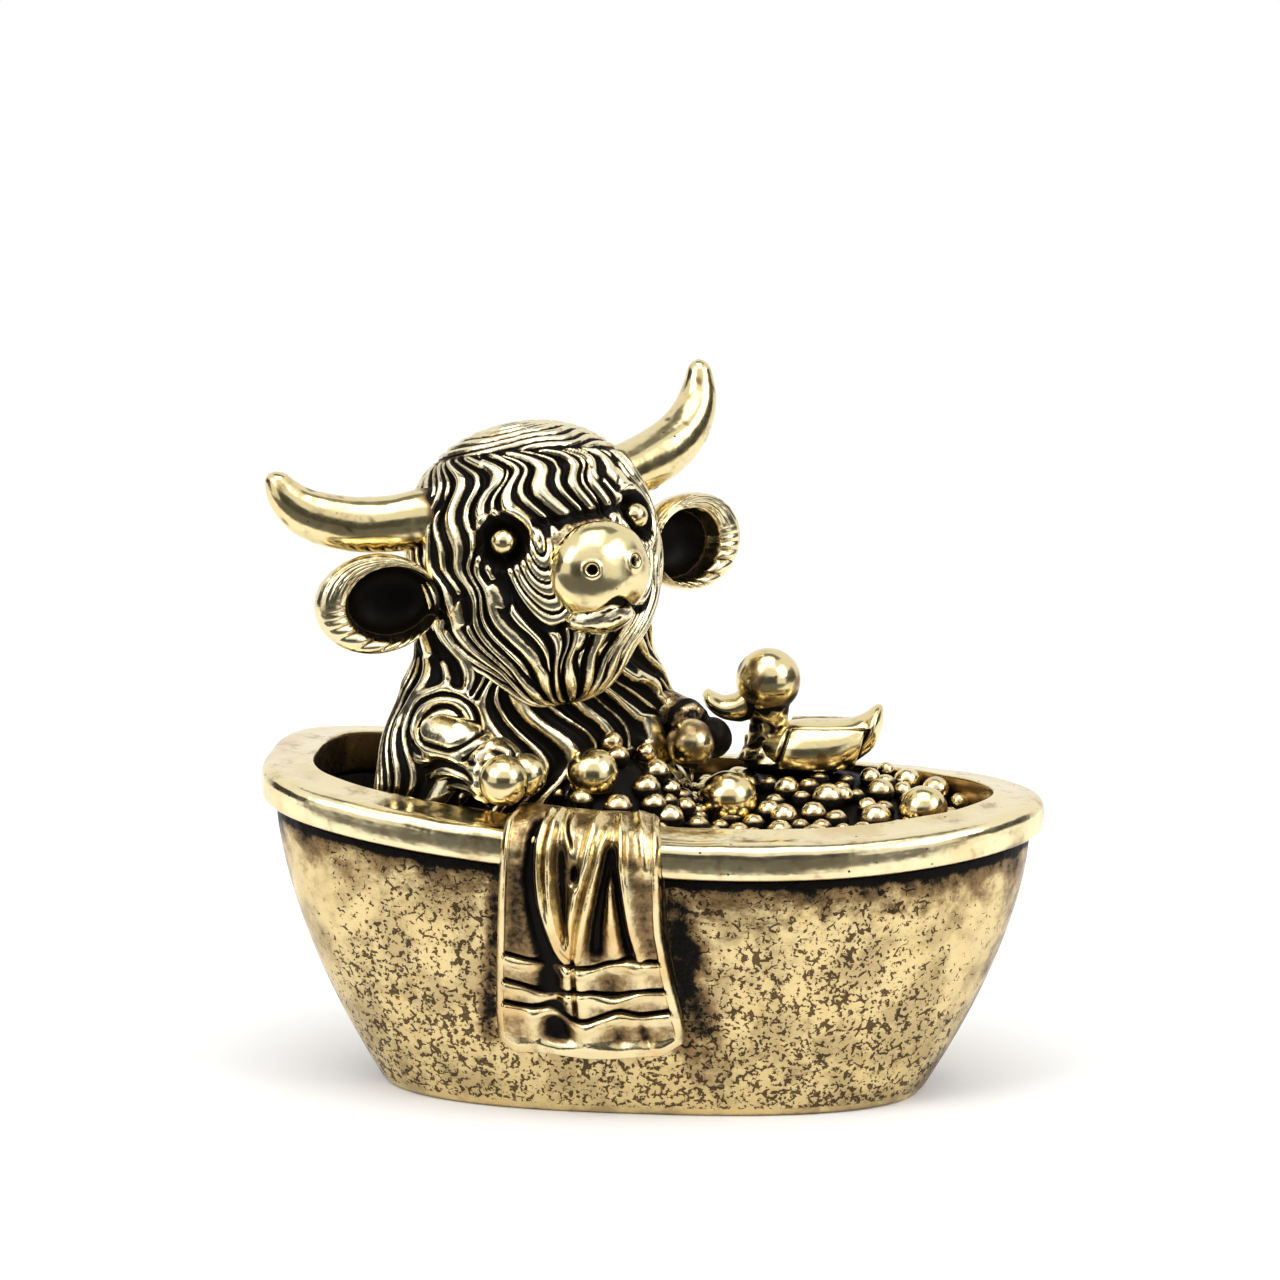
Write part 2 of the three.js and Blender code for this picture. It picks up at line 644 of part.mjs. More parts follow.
// A foreleg runs from inside the shoulder to the wrist, in the cow's frame.
function foreleg(side, { spread, ahead, lift }, grow) {
  const curve = new THREE.QuadraticBezierCurve3(
    new THREE.Vector3(side * SHOULDER_SPREAD, 0, SHOULDER_LIFT),
    new THREE.Vector3(side * Math.max(SHOULDER_SPREAD, spread), -ahead / 2, lift),
    new THREE.Vector3(side * spread, -ahead, lift),
  );
  const radiusAt = (share) =>
    lerp(FORELEG_RADIUS, WRIST_RADIUS, share) * (1 - SHOULDER_ROUNDING * (1 - share) ** 12);
  return taperedTube(curve, radiusAt, grow, 6);
}

// A cloven hoof: two toes side by side, joined where they meet.
function hoof(side, { spread, ahead, lift }, grow) {
  const toes = [-1, 1].map((toe) => {
    const size = [TOE_WIDTH, HOOF_LENGTH, HOOF_HEIGHT].map((full) => full + 2 * grow);
    return ellipsoid(...size).translate((toe * TOE_SPACING) / 2, 0, 0);
  });
  return join(...toes).translate(side * spread, -ahead - HOOF_LENGTH / 4, lift);
}

// Duck, in its own frame with the foam's level at zero.

// Section of the body at a share of its length, from the breast to the upturned tail.
function duckSection(share, grow) {
  const round = Math.sin(Math.PI * share);
  const tip = share ** 6;
  const back = DUCK_HEIGHT * Math.sin(Math.PI * lerp(0.2, 0.86, share)) ** 0.8;
  const top = lerp(back, DUCK_TAIL_HEIGHT, tip) + grow;
  const tailFloor = DUCK_TAIL_HEIGHT - DUCK_TAIL_THICKNESS;
  const keel = lerp(-DUCK_DRAUGHT * round ** 0.5, tailFloor, share ** 3) - grow;
  const halfWidth = (DUCK_WIDTH / 2) * round ** 0.6 + grow;
  return anglesRound(FINE_FACETS).map((angle) => {
    const x = (share - 0.5) * (DUCK_LENGTH + 2 * grow);
    return new THREE.Vector3(x, halfWidth * Math.cos(angle), lerp(keel, top, 0.5 + Math.sin(angle) / 2));
  });
}

function duckHull(grow) {
  const shares = [0.02, 0.08, 0.18, 0.32, 0.48, 0.64, 0.78, 0.88, 0.95, 0.99];
  return skin(shares.map((share) => duckSection(share, grow)));
}

function duckNeck(grow) {
  const bottom = DUCK_HEIGHT / 3;
  const top = DUCK_HEAD_LIFT - DUCK_HEAD_RADIUS / 2;
  const radius = DUCK_NECK_RADIUS + grow;
  const neck = new THREE.CylinderGeometry(radius, radius, top - bottom + 2 * grow, FINE_FACETS);
  return neck.rotateX(Math.PI / 2).translate(-DUCK_HEAD_AHEAD, 0, (top + bottom) / 2);
}

// A wing: a raised panel with round corners, leaning back, on each side of the body.
function duckWings(grow) {
  const length = WING_LENGTH + 2 * grow;
  const height = WING_HEIGHT + 2 * grow;
  const corner = WING_HEIGHT / 3;
  const shape = new THREE.Shape();
  shape.moveTo(corner, 0);
  shape.lineTo(length - corner, 0);
  shape.quadraticCurveTo(length, 0, length, corner);
  shape.lineTo(length + WING_SLANT, height - corner);
  shape.quadraticCurveTo(length + WING_SLANT, height, length - corner, height);
  shape.lineTo(WING_SLANT + corner, height);
  shape.quadraticCurveTo(WING_SLANT, height, WING_SLANT, height - corner);
  shape.lineTo(0, corner);
  shape.quadraticCurveTo(0, 0, corner, 0);
  const depth = DUCK_WIDTH + 2 * WING_RELIEF + 2 * grow;
  const panel = new THREE.ExtrudeGeometry(shape, { depth, bevelEnabled: false, curveSegments: 2 });
  panel.rotateX(Math.PI / 2).translate(-length / 2, depth / 2, WING_LIFT - height / 2);
  return common(panel, duckHull(WING_RELIEF + grow));
}

function duckHeadBall(grow) {
  return ballOf(DUCK_HEAD_RADIUS + grow).translate(-DUCK_HEAD_AHEAD, 0, DUCK_HEAD_LIFT);
}

function duckBill() {
  const bill = ellipsoid(2 * BILL_LENGTH, BILL_WIDTH, BILL_THICKNESS);
  bill.translate(-DUCK_HEAD_RADIUS, 0, 0).rotateY(degToRad(BILL_TILT));
  return bill.translate(-DUCK_HEAD_AHEAD, 0, DUCK_HEAD_LIFT - BILL_DROP);
}

// Towel.

// How far the towel's face stands out at a place across it (-1 to 1) and down it (0 to 1).
function towelRelief(across, down) {
  const crease = Math.cos(Math.PI * TOWEL_FOLDS * (across + 0.25 * down));
  const spread = 1 - down ** 2;
  const folds = TOWEL_FOLD_DEPTH * spread * (crease + 1) * 0.5;
  const side = (1 - Math.abs(across)) * (TOWEL_HEM_WIDTH / 2) < TOWEL_BORDER;
  return folds + (side ? TOWEL_BORDER_RELIEF : 0);
}

// Heights down the towel's front, from the rim's lower edge to the hem, and how deep each lies.
function towelRows() {
  const top = TUB_HEIGHT;
  const plain = [1, 0.9, 0.78, 0.66].map((share) => ({ z: lerp(TOWEL_STRIPES[0], top, share), out: 0 }));
  const stripes = TOWEL_STRIPES.flatMap((z) => [
    { z: z + TOWEL_STRIPE_WIDTH / 2, out: 0 },
    { z, out: -TOWEL_STRIPE_DEPTH },
    { z: z - TOWEL_STRIPE_WIDTH / 2, out: 0 },
  ]);
  const border = [
    { z: TOWEL_HEM_LIFT + TOWEL_BORDER, out: TOWEL_BORDER_RELIEF },
    { z: TOWEL_HEM_LIFT, out: TOWEL_BORDER_RELIEF },
  ];
  return [...plain, ...stripes, ...border];
}

// One slice of the towel from its tuck inside the rim, over the rim and down the wall to the hem, and
// back up inside the metal that the towel is later cut to fit.
function towelSlice(across, grow) {
  const rows = towelRows();
  const thick = TOWEL_THICKNESS + TOWEL_GAP + grow;
  const halfWidthAt = (down) => lerp(TOWEL_TOP_WIDTH, TOWEL_HEM_WIDTH, down) / 2 + grow;
  const overRim = (inset, height) => {
    const x = TOWEL_X + across * halfWidthAt(0);
    const y = frontOf(x, RIM_LENGTH - 2 * inset, RIM_WIDTH - 2 * inset, 1);
    return new THREE.Vector3(x, y, topEdge(x) + SEAT_GAP + height);
  };
  const onWall = (z, out) => {
    const down = (TUB_HEIGHT - z) / (TUB_HEIGHT - TOWEL_HEM_LIFT);
    const x = TOWEL_X + across * halfWidthAt(down);
    const hang = Math.max(0, inverseLerp(TOWEL_STRIPES[0], TUB_HEIGHT, z)) * (RIM_WIDTH - TUB_WIDTH) / 2;
    return new THREE.Vector3(x, frontOf(x, ...wallSize(z / TUB_HEIGHT, 0)) - out - hang, z);
  };
  const relief = towelRelief(across, 0);
  const front = rows.map(({ z, out }) => {
    const down = (TUB_HEIGHT - z) / (TUB_HEIGHT - TOWEL_HEM_LIFT);
    return onWall(z, thick + out + towelRelief(across, down));
  });
  const over = [
    overRim(RIM_BAND - 2 * TOWEL_GAP, RIM_HEIGHT - TOWEL_TUCK - grow),
    overRim(RIM_BAND + thick, RIM_HEIGHT - TOWEL_TUCK - grow),
    overRim(RIM_BAND + thick * 0.9, RIM_HEIGHT + thick / 2),
    overRim(RIM_BAND * 0.75, RIM_HEIGHT + thick + relief / 3),
    overRim(RIM_SHOULDER * 0.7, RIM_HEIGHT - RIM_CROWN_DROP + thick + relief / 2),
    overRim(-thick * 0.6 - relief, RIM_HEIGHT - RIM_SHOULDER / 2 + thick / 2),
    overRim(-thick - relief, RIM_HEIGHT - RIM_SHOULDER),
  ];
  const shares = [0, 0.4, 0.8];
  const back = shares.map((share) => onWall(lerp(TOWEL_HEM_LIFT, TUB_HEIGHT, share), -4 * TOWEL_GAP));
  return [...over, ...front, ...back];
}

function towelBlank(grow) {
  const slices = 16;
  return slab(Array.from({ length: slices + 1 }, (_, k) => towelSlice((2 * k) / slices - 1, grow)));
}

// Assembly.

const ornament = new THREE.Group();

function groupAt(parent, x, y, z) {
  const group = new THREE.Group();
  group.position.set(x, y, z);
  parent.add(group);
  return group;
}

const cow = groupAt(ornament, COW_X, COW_Y, FOAM_LEVEL);
cow.rotation.z = degToRad(COW_TURN);
const head = groupAt(cow, 0, 0, HEAD_LIFT);
head.rotation.set(degToRad(-HEAD_NOD), degToRad(-HEAD_ROLL), 0);
const duck = groupAt(ornament, DUCK_X, DUCK_Y, FOAM_LEVEL + DUCK_RISE);
duck.rotation.z = degToRad(DUCK_TURN);
ornament.updateMatrixWorld(true);

// A geometry taken from one group's frame to another's.
function carried(geometry, from, to) {
  const matrix = to.matrixWorld.clone().invert().multiply(from.matrixWorld);
  return geometry.clone().applyMatrix4(matrix);
}

function addPart(group, name, geometry, finish) {
  const mesh = new THREE.Mesh(geometry, new THREE.MeshStandardMaterial(finish));
  geometry.computeVertexNormals();
  mesh.name = name;
  group.add(mesh);
}

const SIDES = [
  { name: "left", side: 1, hornSize: LEFT_HORN, earReach: LEFT_EAR_REACH, reach: LEFT_REACH },
  { name: "right", side: -1, hornSize: RIGHT_HORN, earReach: RIGHT_EAR_REACH, reach: RIGHT_REACH },
];

const LARGE_BUBBLES = [CHEST_BUBBLE, MIDDLE_BUBBLE, FAR_BUBBLE];

// What the head is cut by, and what the trunk and the foam are cut by, each with its clearance.
const headSeats = SIDES.flatMap(({ side, hornSize, earReach }) => [
  horn(side, hornSize, SEAT_GAP),
  earForm(side, earReach, -SEAT_GAP, 0),
  socket(side),
]);
const headRoom = carried(headRoomBall(SEAT_GAP), head, cow);
const legRooms = SIDES.map(({ side, reach }) => foreleg(side, reach, SEAT_GAP));
const hoofRooms = SIDES.map(({ side, reach }) => hoof(side, reach, SEAT_GAP));
const cowRooms = [trunkRoom(SEAT_GAP), ...legRooms, ...hoofRooms];
const duckRooms = [duckHull, duckWings, duckNeck, duckHeadBall].map((form) => form(SEAT_GAP));
const bubbleRooms = LARGE_BUBBLES.map((bubble) => largeBubble(bubble, SEAT_GAP));
const edgeRooms = [rimHoop(SEAT_GAP), towelBlank(SEAT_GAP)];

addPart(ornament, "tub", tubShell(), satin);
addPart(ornament, "tub_rim", rimHoop(0), polished);
addPart(ornament, "towel", cut(towelBlank(0), tubOutside(TOWEL_GAP), rimHoop(TOWEL_GAP)), antiqued);

const foamPlate = foamWell(SEAT_GAP, FOAM_LEVEL - FOAM_THICKNESS, FOAM_LEVEL);
const foamRoom = foamWell(SEAT_GAP, FOAM_LEVEL - FOAM_THICKNESS, 2 * FOAM_LEVEL);
const foam = cut(
  common(join(foamPlate, ...HEAPS.map(foamHeap), ...smallBubbles()), foamRoom),
  ...cowRooms.map((room) => carried(room, cow, ornament)),
  ...duckRooms.map((room) => carried(room, duck, ornament)),
  ...bubbleRooms,
  ...edgeRooms,
);
addPart(ornament, "foam", foam, antiqued);

LARGE_BUBBLES.forEach((bubble, k) => {
  const rooms = cowRooms.map((room) => carried(room, cow, ornament));
  addPart(ornament, `bubble_${k + 1}`, cut(largeBubble(bubble, 0), ...rooms, ...edgeRooms), polished);
});

addPart(cow, "cow_trunk", cut(trunkHair(), headRoom, ...legRooms, ...hoofRooms), antiqued);
const headRooms = [...headSeats, muzzleBall(SEAT_GAP), lipBall(SEAT_GAP)];
addPart(head, "cow_head", cut(headHair(), ...headRooms), antiqued);
addPart(head, "cow_muzzle", muzzle(), polished);
addPart(head, "cow_lower_lip", cut(lipBall(0), muzzleBall(SEAT_GAP)), polished);

SIDES.forEach(({ name, side, hornSize, earReach, reach }) => {
  const edges = edgeRooms.map((room) => carried(room, ornament, cow));
  const hoofSolid = cut(hoof(side, reach, 0), ...edges);
  const legSolid = cut(foreleg(side, reach, 0), hoof(side, reach, SEAT_GAP), headRoom, ...edges);
  addPart(head, `horn_${name}`, horn(side, hornSize, 0), polished);
  addPart(head, `ear_${name}`, ear(side, earReach), antiqued);
  addPart(head, `eye_${name}`, eyeBall(side), polished);
  addPart(cow, `foreleg_${name}`, legSolid, antiqued);
  addPart(cow, `hoof_${name}`, hoofSolid, polished);
});

const duckBody = join(duckHull(0), duckWings(0), duckNeck(0));
addPart(duck, "duck_body", cut(duckBody, duckHeadBall(SEAT_GAP)), polished);
addPart(duck, "duck_head", duckHeadBall(0), polished);
addPart(duck, "duck_bill", cut(duckBill(), duckHeadBall(SEAT_GAP)), polished);

export default ornament;
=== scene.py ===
"""Dresses the antiqued brass ornament: a long-haired cow that sits in a bathtub full of foam.

Lengths are in millimetres in the shape code and become metres where a mesh is written. The frame is the
CAD model's: +X along the tub away from the cow, -Y the side that the towel hangs on, +Z up, with the
origin in the middle of the flat foot.
"""
import logging
from dataclasses import dataclass
from enum import Enum

import bpy
import numpy as np
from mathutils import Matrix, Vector


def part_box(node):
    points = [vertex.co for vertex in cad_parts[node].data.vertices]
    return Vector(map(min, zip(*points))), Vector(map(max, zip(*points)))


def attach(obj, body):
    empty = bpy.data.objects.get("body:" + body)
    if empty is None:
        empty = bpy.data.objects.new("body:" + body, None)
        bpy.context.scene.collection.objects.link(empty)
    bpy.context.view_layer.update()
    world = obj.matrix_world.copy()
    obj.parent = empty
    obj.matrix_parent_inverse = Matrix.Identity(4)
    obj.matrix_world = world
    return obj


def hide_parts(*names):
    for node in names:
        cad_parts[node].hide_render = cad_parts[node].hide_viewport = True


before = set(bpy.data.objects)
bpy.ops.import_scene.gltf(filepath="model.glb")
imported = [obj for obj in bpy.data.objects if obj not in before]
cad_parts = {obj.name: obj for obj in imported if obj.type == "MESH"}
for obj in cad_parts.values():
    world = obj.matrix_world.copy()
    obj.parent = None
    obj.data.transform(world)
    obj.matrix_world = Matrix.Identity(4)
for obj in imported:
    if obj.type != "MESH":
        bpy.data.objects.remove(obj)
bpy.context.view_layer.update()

LOG = logging.getLogger("bath_cow")
Array = np.ndarray
Colour = tuple[float, float, float]
Place = tuple[float, float, float]
Socket = bpy.types.NodeSocket
Value = Socket | float
MM = 0.001
BODY = "root"


# Numbers on grids.


def smooth(low: float, high: float, value: Array) -> Array:
    """Rises smoothly from 0 at low to 1 at high, as 3 t squared minus 2 t cubed."""
    share = np.clip((value - low) / (high - low), 0.0, 1.0)
    return share * share * (3.0 - 2.0 * share)


def mound(distance: Array, reach: float) -> Array:
    """Falls from 1 to 0 with distance, as e to the power of minus distance over reach squared."""
    return np.exp(-((distance / reach) ** 2))


def mix(first: Array, second: Array, share: Array) -> Array:
    """The weighted mean of two values: all of the first at share 0, all of the second at 1."""
    return first * (1.0 - share) + second * share


def eased(at: Array, places: Array, values: Array, window: float) -> Array:
    """Values between places, interpolated and averaged over a window that rounds the corners."""
    shifts = np.linspace(-0.5, 0.5, 9) * window
    return np.mean([np.interp(at + shift, places, values) for shift in shifts], axis=0)


def ripple(points: Array, length: float, seed: int) -> Array:
    """Smooth unevenness between about -1 and 1.

    Twice the mean of twelve sine waves of the place, in seeded directions and about one length long.

    Args:
        points: places, with x, y and z last.
        length: typical wavelength, in the points' unit.
        seed: picks the waves.

    Returns:
        One value for each point.
    """
    rng = np.random.default_rng(seed)
    waves = rng.normal(size=(12, 3)) * (2.0 * np.pi / (1.7 * length))
    offsets = rng.uniform(0.0, 2.0 * np.pi, 12)
    return 2.0 * np.sin(points @ waves.T + offsets).mean(axis=-1)


def ridge(phase: Array, sharpness: float) -> Array:
    """A ridge between furrows at whole phases: the sine of pi times the phase, unsigned, to a power."""
    return np.abs(np.sin(np.pi * phase)) ** sharpness


def round_angles(count: int) -> Array:
    """Angles evenly round a circle, without the last one that closes it."""
    return np.linspace(0.0, 2.0 * np.pi, count, endpoint=False)


def bezier(first: Array, *others: Array, share: Array) -> Array:
    """Points on the Bezier curve over three or four control points, by repeated weighted means.

    Args:
        first: first control point.
        others: the other control points.
        share: where on the curve, from 0 to 1.

    Returns:
        One point for each share.
    """
    level = [np.asarray(point, float)[None, :] for point in (first, *others)]
    weight = share[:, None]
    while len(level) > 1:
        level = [mix(a, b, weight) for a, b in zip(level, level[1:])]
    return level[0]


def turn(axis: str, degrees: float) -> Array:
    """The matrix that turns by the right-hand rule about one axis.

    Args:
        axis: x, y or z.
        degrees: the angle.

    Returns:
        3 by 3 numbers.
    """
    c, s = np.cos(np.radians(degrees)), np.sin(np.radians(degrees))
    rows = {
        "x": [[1, 0, 0], [0, c, -s], [0, s, c]],
        "y": [[c, 0, s], [0, 1, 0], [-s, 0, c]],
        "z": [[c, -s, 0], [s, c, 0], [0, 0, 1]],
    }
    return np.array(rows[axis], float)


@dataclass(frozen=True)
class Placement:
    """Where a sub-assembly's own frame lies in the ornament's frame."""

    rotation: Array
    shift: Array

    def then(self, rotation: Array, shift: Place) -> "Placement":
        """The placement of a frame that is itself placed in this one."""
        return Placement(self.rotation @ rotation, self.out(np.array(shift, float)))

    def out(self, points: Array) -> Array:
        """Takes points from the sub-assembly's frame to the ornament's."""
        return points @ self.rotation.T + self.shift

    def back(self, points: Array) -> Array:
        """Takes points from the ornament's frame to the sub-assembly's."""
        return (points - self.shift) @ self.rotation


ORNAMENT = Placement(np.eye(3), np.zeros(3))


# Skins: points, faces and how far each point stands out of the furrows.


@dataclass
class Skin:
    """A closed skin in millimetres, with a relief value for each point: 0 in furrows and painted shade, 1 on
    ridges.
    """

    points: Array
    quads: Array
    fans: Array
    relief: Array

    def moved(self, placement: Placement) -> "Skin":
        """The same skin in the ornament's frame."""
        return Skin(placement.out(self.points), self.quads, self.fans, self.relief)

    def volume(self) -> float:
        """Signed volume: the sum over triangles of the triple product of their corners, over six.

        Returns:
            Cubic millimetres, above 0 where the faces point out.
        """
        triangles = np.concatenate([self.quads[:, [0, 1, 2]], self.quads[:, [0, 2, 3]], self.fans])
        a, b, c = (self.points[triangles[:, k]] for k in range(3))
        return float(np.einsum("ij,ij->i", a, np.cross(b, c)).sum() / 6.0)

    def outward(self) -> "Skin":
        """The same skin with its faces pointing out.

        Returns:
            This skin, or one with every face turned over.
        """
        if self.volume() >= 0.0:
            return self
        return Skin(self.points, self.quads[:, ::-1], self.fans[:, ::-1], self.relief)


def join_skins(skins: list[Skin]) -> Skin:
    """Several skins as one, their points one after another.

    Args:
        skins: closed skins in one frame.

    Returns:
        The joined skin.
    """
    starts = np.cumsum([0] + [len(skin.points) for skin in skins[:-1]])
    return Skin(
        np.concatenate([skin.points for skin in skins]),
        np.concatenate([skin.quads + start for skin, start in zip(skins, starts)]),
        np.concatenate([skin.fans + start for skin, start in zip(skins, starts)]),
        np.concatenate([skin.relief for skin in skins]),
    )


def ring_quads(rows: int, columns: int, closed_rows: bool) -> Array:
    """Quads between neighbouring rings of a grid whose columns run round and close.

    Args:
        rows: number of rings.
        columns: points in a ring.
        closed_rows: whether the last ring joins the first.

    Returns:
        Four point numbers for each quad.
    """
    lower = np.arange(rows if closed_rows else rows - 1)
    upper = (lower + 1) % rows
    here = np.arange(columns)
    beside = (here + 1) % columns
    grid = [
        lower[:, None] * columns + here[None, :],
        lower[:, None] * columns + beside[None, :],
        upper[:, None] * columns + beside[None, :],
        upper[:, None] * columns + here[None, :],
    ]
    return np.stack(grid, axis=-1).reshape(-1, 4)


def capped_skin(rings: Array, relief: Array, start: Array | None = None, end: Array | None = None) -> Skin:
    """A closed skin over rings that run from one end to the other, each end closed by a fan.

    Args:
        rings: rows by columns by 3.
        relief: rows by columns.
        start: point of the first fan, the first ring's mean if left out.
        end: point of the last fan, the last ring's mean if left out.

    Returns:
        The skin, with its faces pointing out.
    """
    rows, columns = rings.shape[:2]
    start = rings[0].mean(axis=0) if start is None else start
    end = rings[-1].mean(axis=0) if end is None else end
    points = np.concatenate([rings.reshape(-1, 3), start[None, :], end[None, :]])
    here = np.arange(columns)
    beside = (here + 1) % columns
    last = (rows - 1) * columns
    first_fan = np.stack([beside, here, np.full(columns, rows * columns)], axis=-1)
    last_fan = np.stack([last + here, last + beside, np.full(columns, rows * columns + 1)], axis=-1)
    values = np.concatenate([relief.ravel(), [relief[0].mean(), relief[-1].mean()]])
    fans = np.concatenate([first_fan, last_fan])
    return Skin(points, ring_quads(rows, columns, False), fans, values).outward()


def hoop_skin(rings: Array, relief: Array) -> Skin:
    """A closed skin over rings that come round to the first one again.

    Args:
        rings: rows by columns by 3.
        relief: rows by columns.

    Returns:
        The skin, with its faces pointing out.
    """
    rows, columns = rings.shape[:2]
    quads = ring_quads(rows, columns, True)
    return Skin(rings.reshape(-1, 3), quads, np.zeros((0, 3), int), relief.ravel()).outward()


def ring_normals(rings: Array) -> Array:
    """Outward unit normals of a grid of rings: the cross product of its two central differences.

    Args:
        rings: rows by columns by 3.

    Returns:
        Rows by columns by 3.
    """
    across = np.roll(rings, -1, axis=1) - np.roll(rings, 1, axis=1)
    along = np.gradient(rings, axis=0)
    normals = np.cross(across, along)
    normals /= np.maximum(np.linalg.norm(normals, axis=-1, keepdims=True), 1e-9)
    outwards = ((rings - rings.mean(axis=(0, 1))) * normals).sum()
    return normals if outwards >= 0.0 else -normals


def tube_rays(middle: Array, columns: int, level: Place) -> Array:
    """Unit rays round a curve: the cosine and the sine of an angle times two normals of the curve.

    Args:
        middle: points of the curve.
        columns: rays round each point.
        level: direction that the first normal is square to.

    Returns:
        Points by columns by 3.
    """
    tangent = np.gradient(middle, axis=0)
    tangent /= np.linalg.norm(tangent, axis=-1, keepdims=True)
    aside = np.cross(tangent, np.array(level))
    aside /= np.linalg.norm(aside, axis=-1, keepdims=True)
    upward = np.cross(aside, tangent)
    angle = round_angles(columns)[None, :, None]
    return np.cos(angle) * aside[:, None, :] + np.sin(angle) * upward[:, None, :]


def ball_skin(centre: Array, radii: Array, columns: int = 48, bump: float = 0.0, seed: int = 1) -> Skin:
    """An ellipsoid: cosine and sine of two angles times its three radii, with slight seeded unevenness.

    Args:
        centre: its middle.
        radii: its three half sizes.
        columns: points round it.
        bump: unevenness, as a share of the radii.
        seed: picks the unevenness.

    Returns:
        The skin, with relief 1 all over.
    """
    rows = columns // 2
    climb = np.linspace(-0.5, 0.5, rows + 2)[1:-1, None] * np.pi
    angle = round_angles(columns)[None, :]
    level = np.cos(climb)
    unit = np.stack([level * np.cos(angle), level * np.sin(angle), np.sin(climb) + 0 * angle], axis=-1)
    uneven = 1.0 + bump * ripple(unit, 1.2, seed)[..., None]
    rings = centre + unit * radii * uneven
    poles = [centre + np.array([0, 0, sign]) * radii for sign in (-1.0, 1.0)]
    return capped_skin(rings, np.ones((rows, columns)), *poles)


def write_mesh(name: str, skin: Skin) -> bpy.types.Object:
    """Puts a skin into a new mesh object, in metres, with its relief as a point attribute.

    Args:
        name: the object's and the mesh's name.
        skin: the closed skin, in the ornament's frame.

    Returns:
        The new object, linked to the scene.
    """
    mesh = bpy.data.meshes.new(name)
    corners = np.concatenate([skin.quads.ravel(), skin.fans.ravel()]).astype(np.int32)
    sizes = np.concatenate([np.full(len(skin.quads), 4), np.full(len(skin.fans), 3)]).astype(np.int32)
    starts = np.concatenate([[0], np.cumsum(sizes)[:-1]]).astype(np.int32)
    mesh.vertices.add(len(skin.points))
    mesh.vertices.foreach_set("co", (skin.points * MM).astype(np.float32).ravel())
    mesh.loops.add(len(corners))
    mesh.loops.foreach_set("vertex_index", corners)
    mesh.polygons.add(len(sizes))
    mesh.polygons.foreach_set("loop_start", starts)
    mesh.polygons.foreach_set("use_smooth", np.ones(len(sizes), bool))
    mesh.update(calc_edges=True)
    relief = mesh.attributes.new("relief", "FLOAT", "POINT")
    relief.data.foreach_set("value", skin.relief.astype(np.float32))
    mesh.validate()
    piece = bpy.data.objects.new(name, mesh)
    bpy.context.scene.collection.objects.link(piece)
    return piece


# Finishes.


class Wear(Enum):
    """How the black of a casting is rubbed back."""

    CARVED = "black in the furrows, polished on the ridges"
    PITTED = "satin, with dark pits and patina"
    POLISHED = "bright all over"


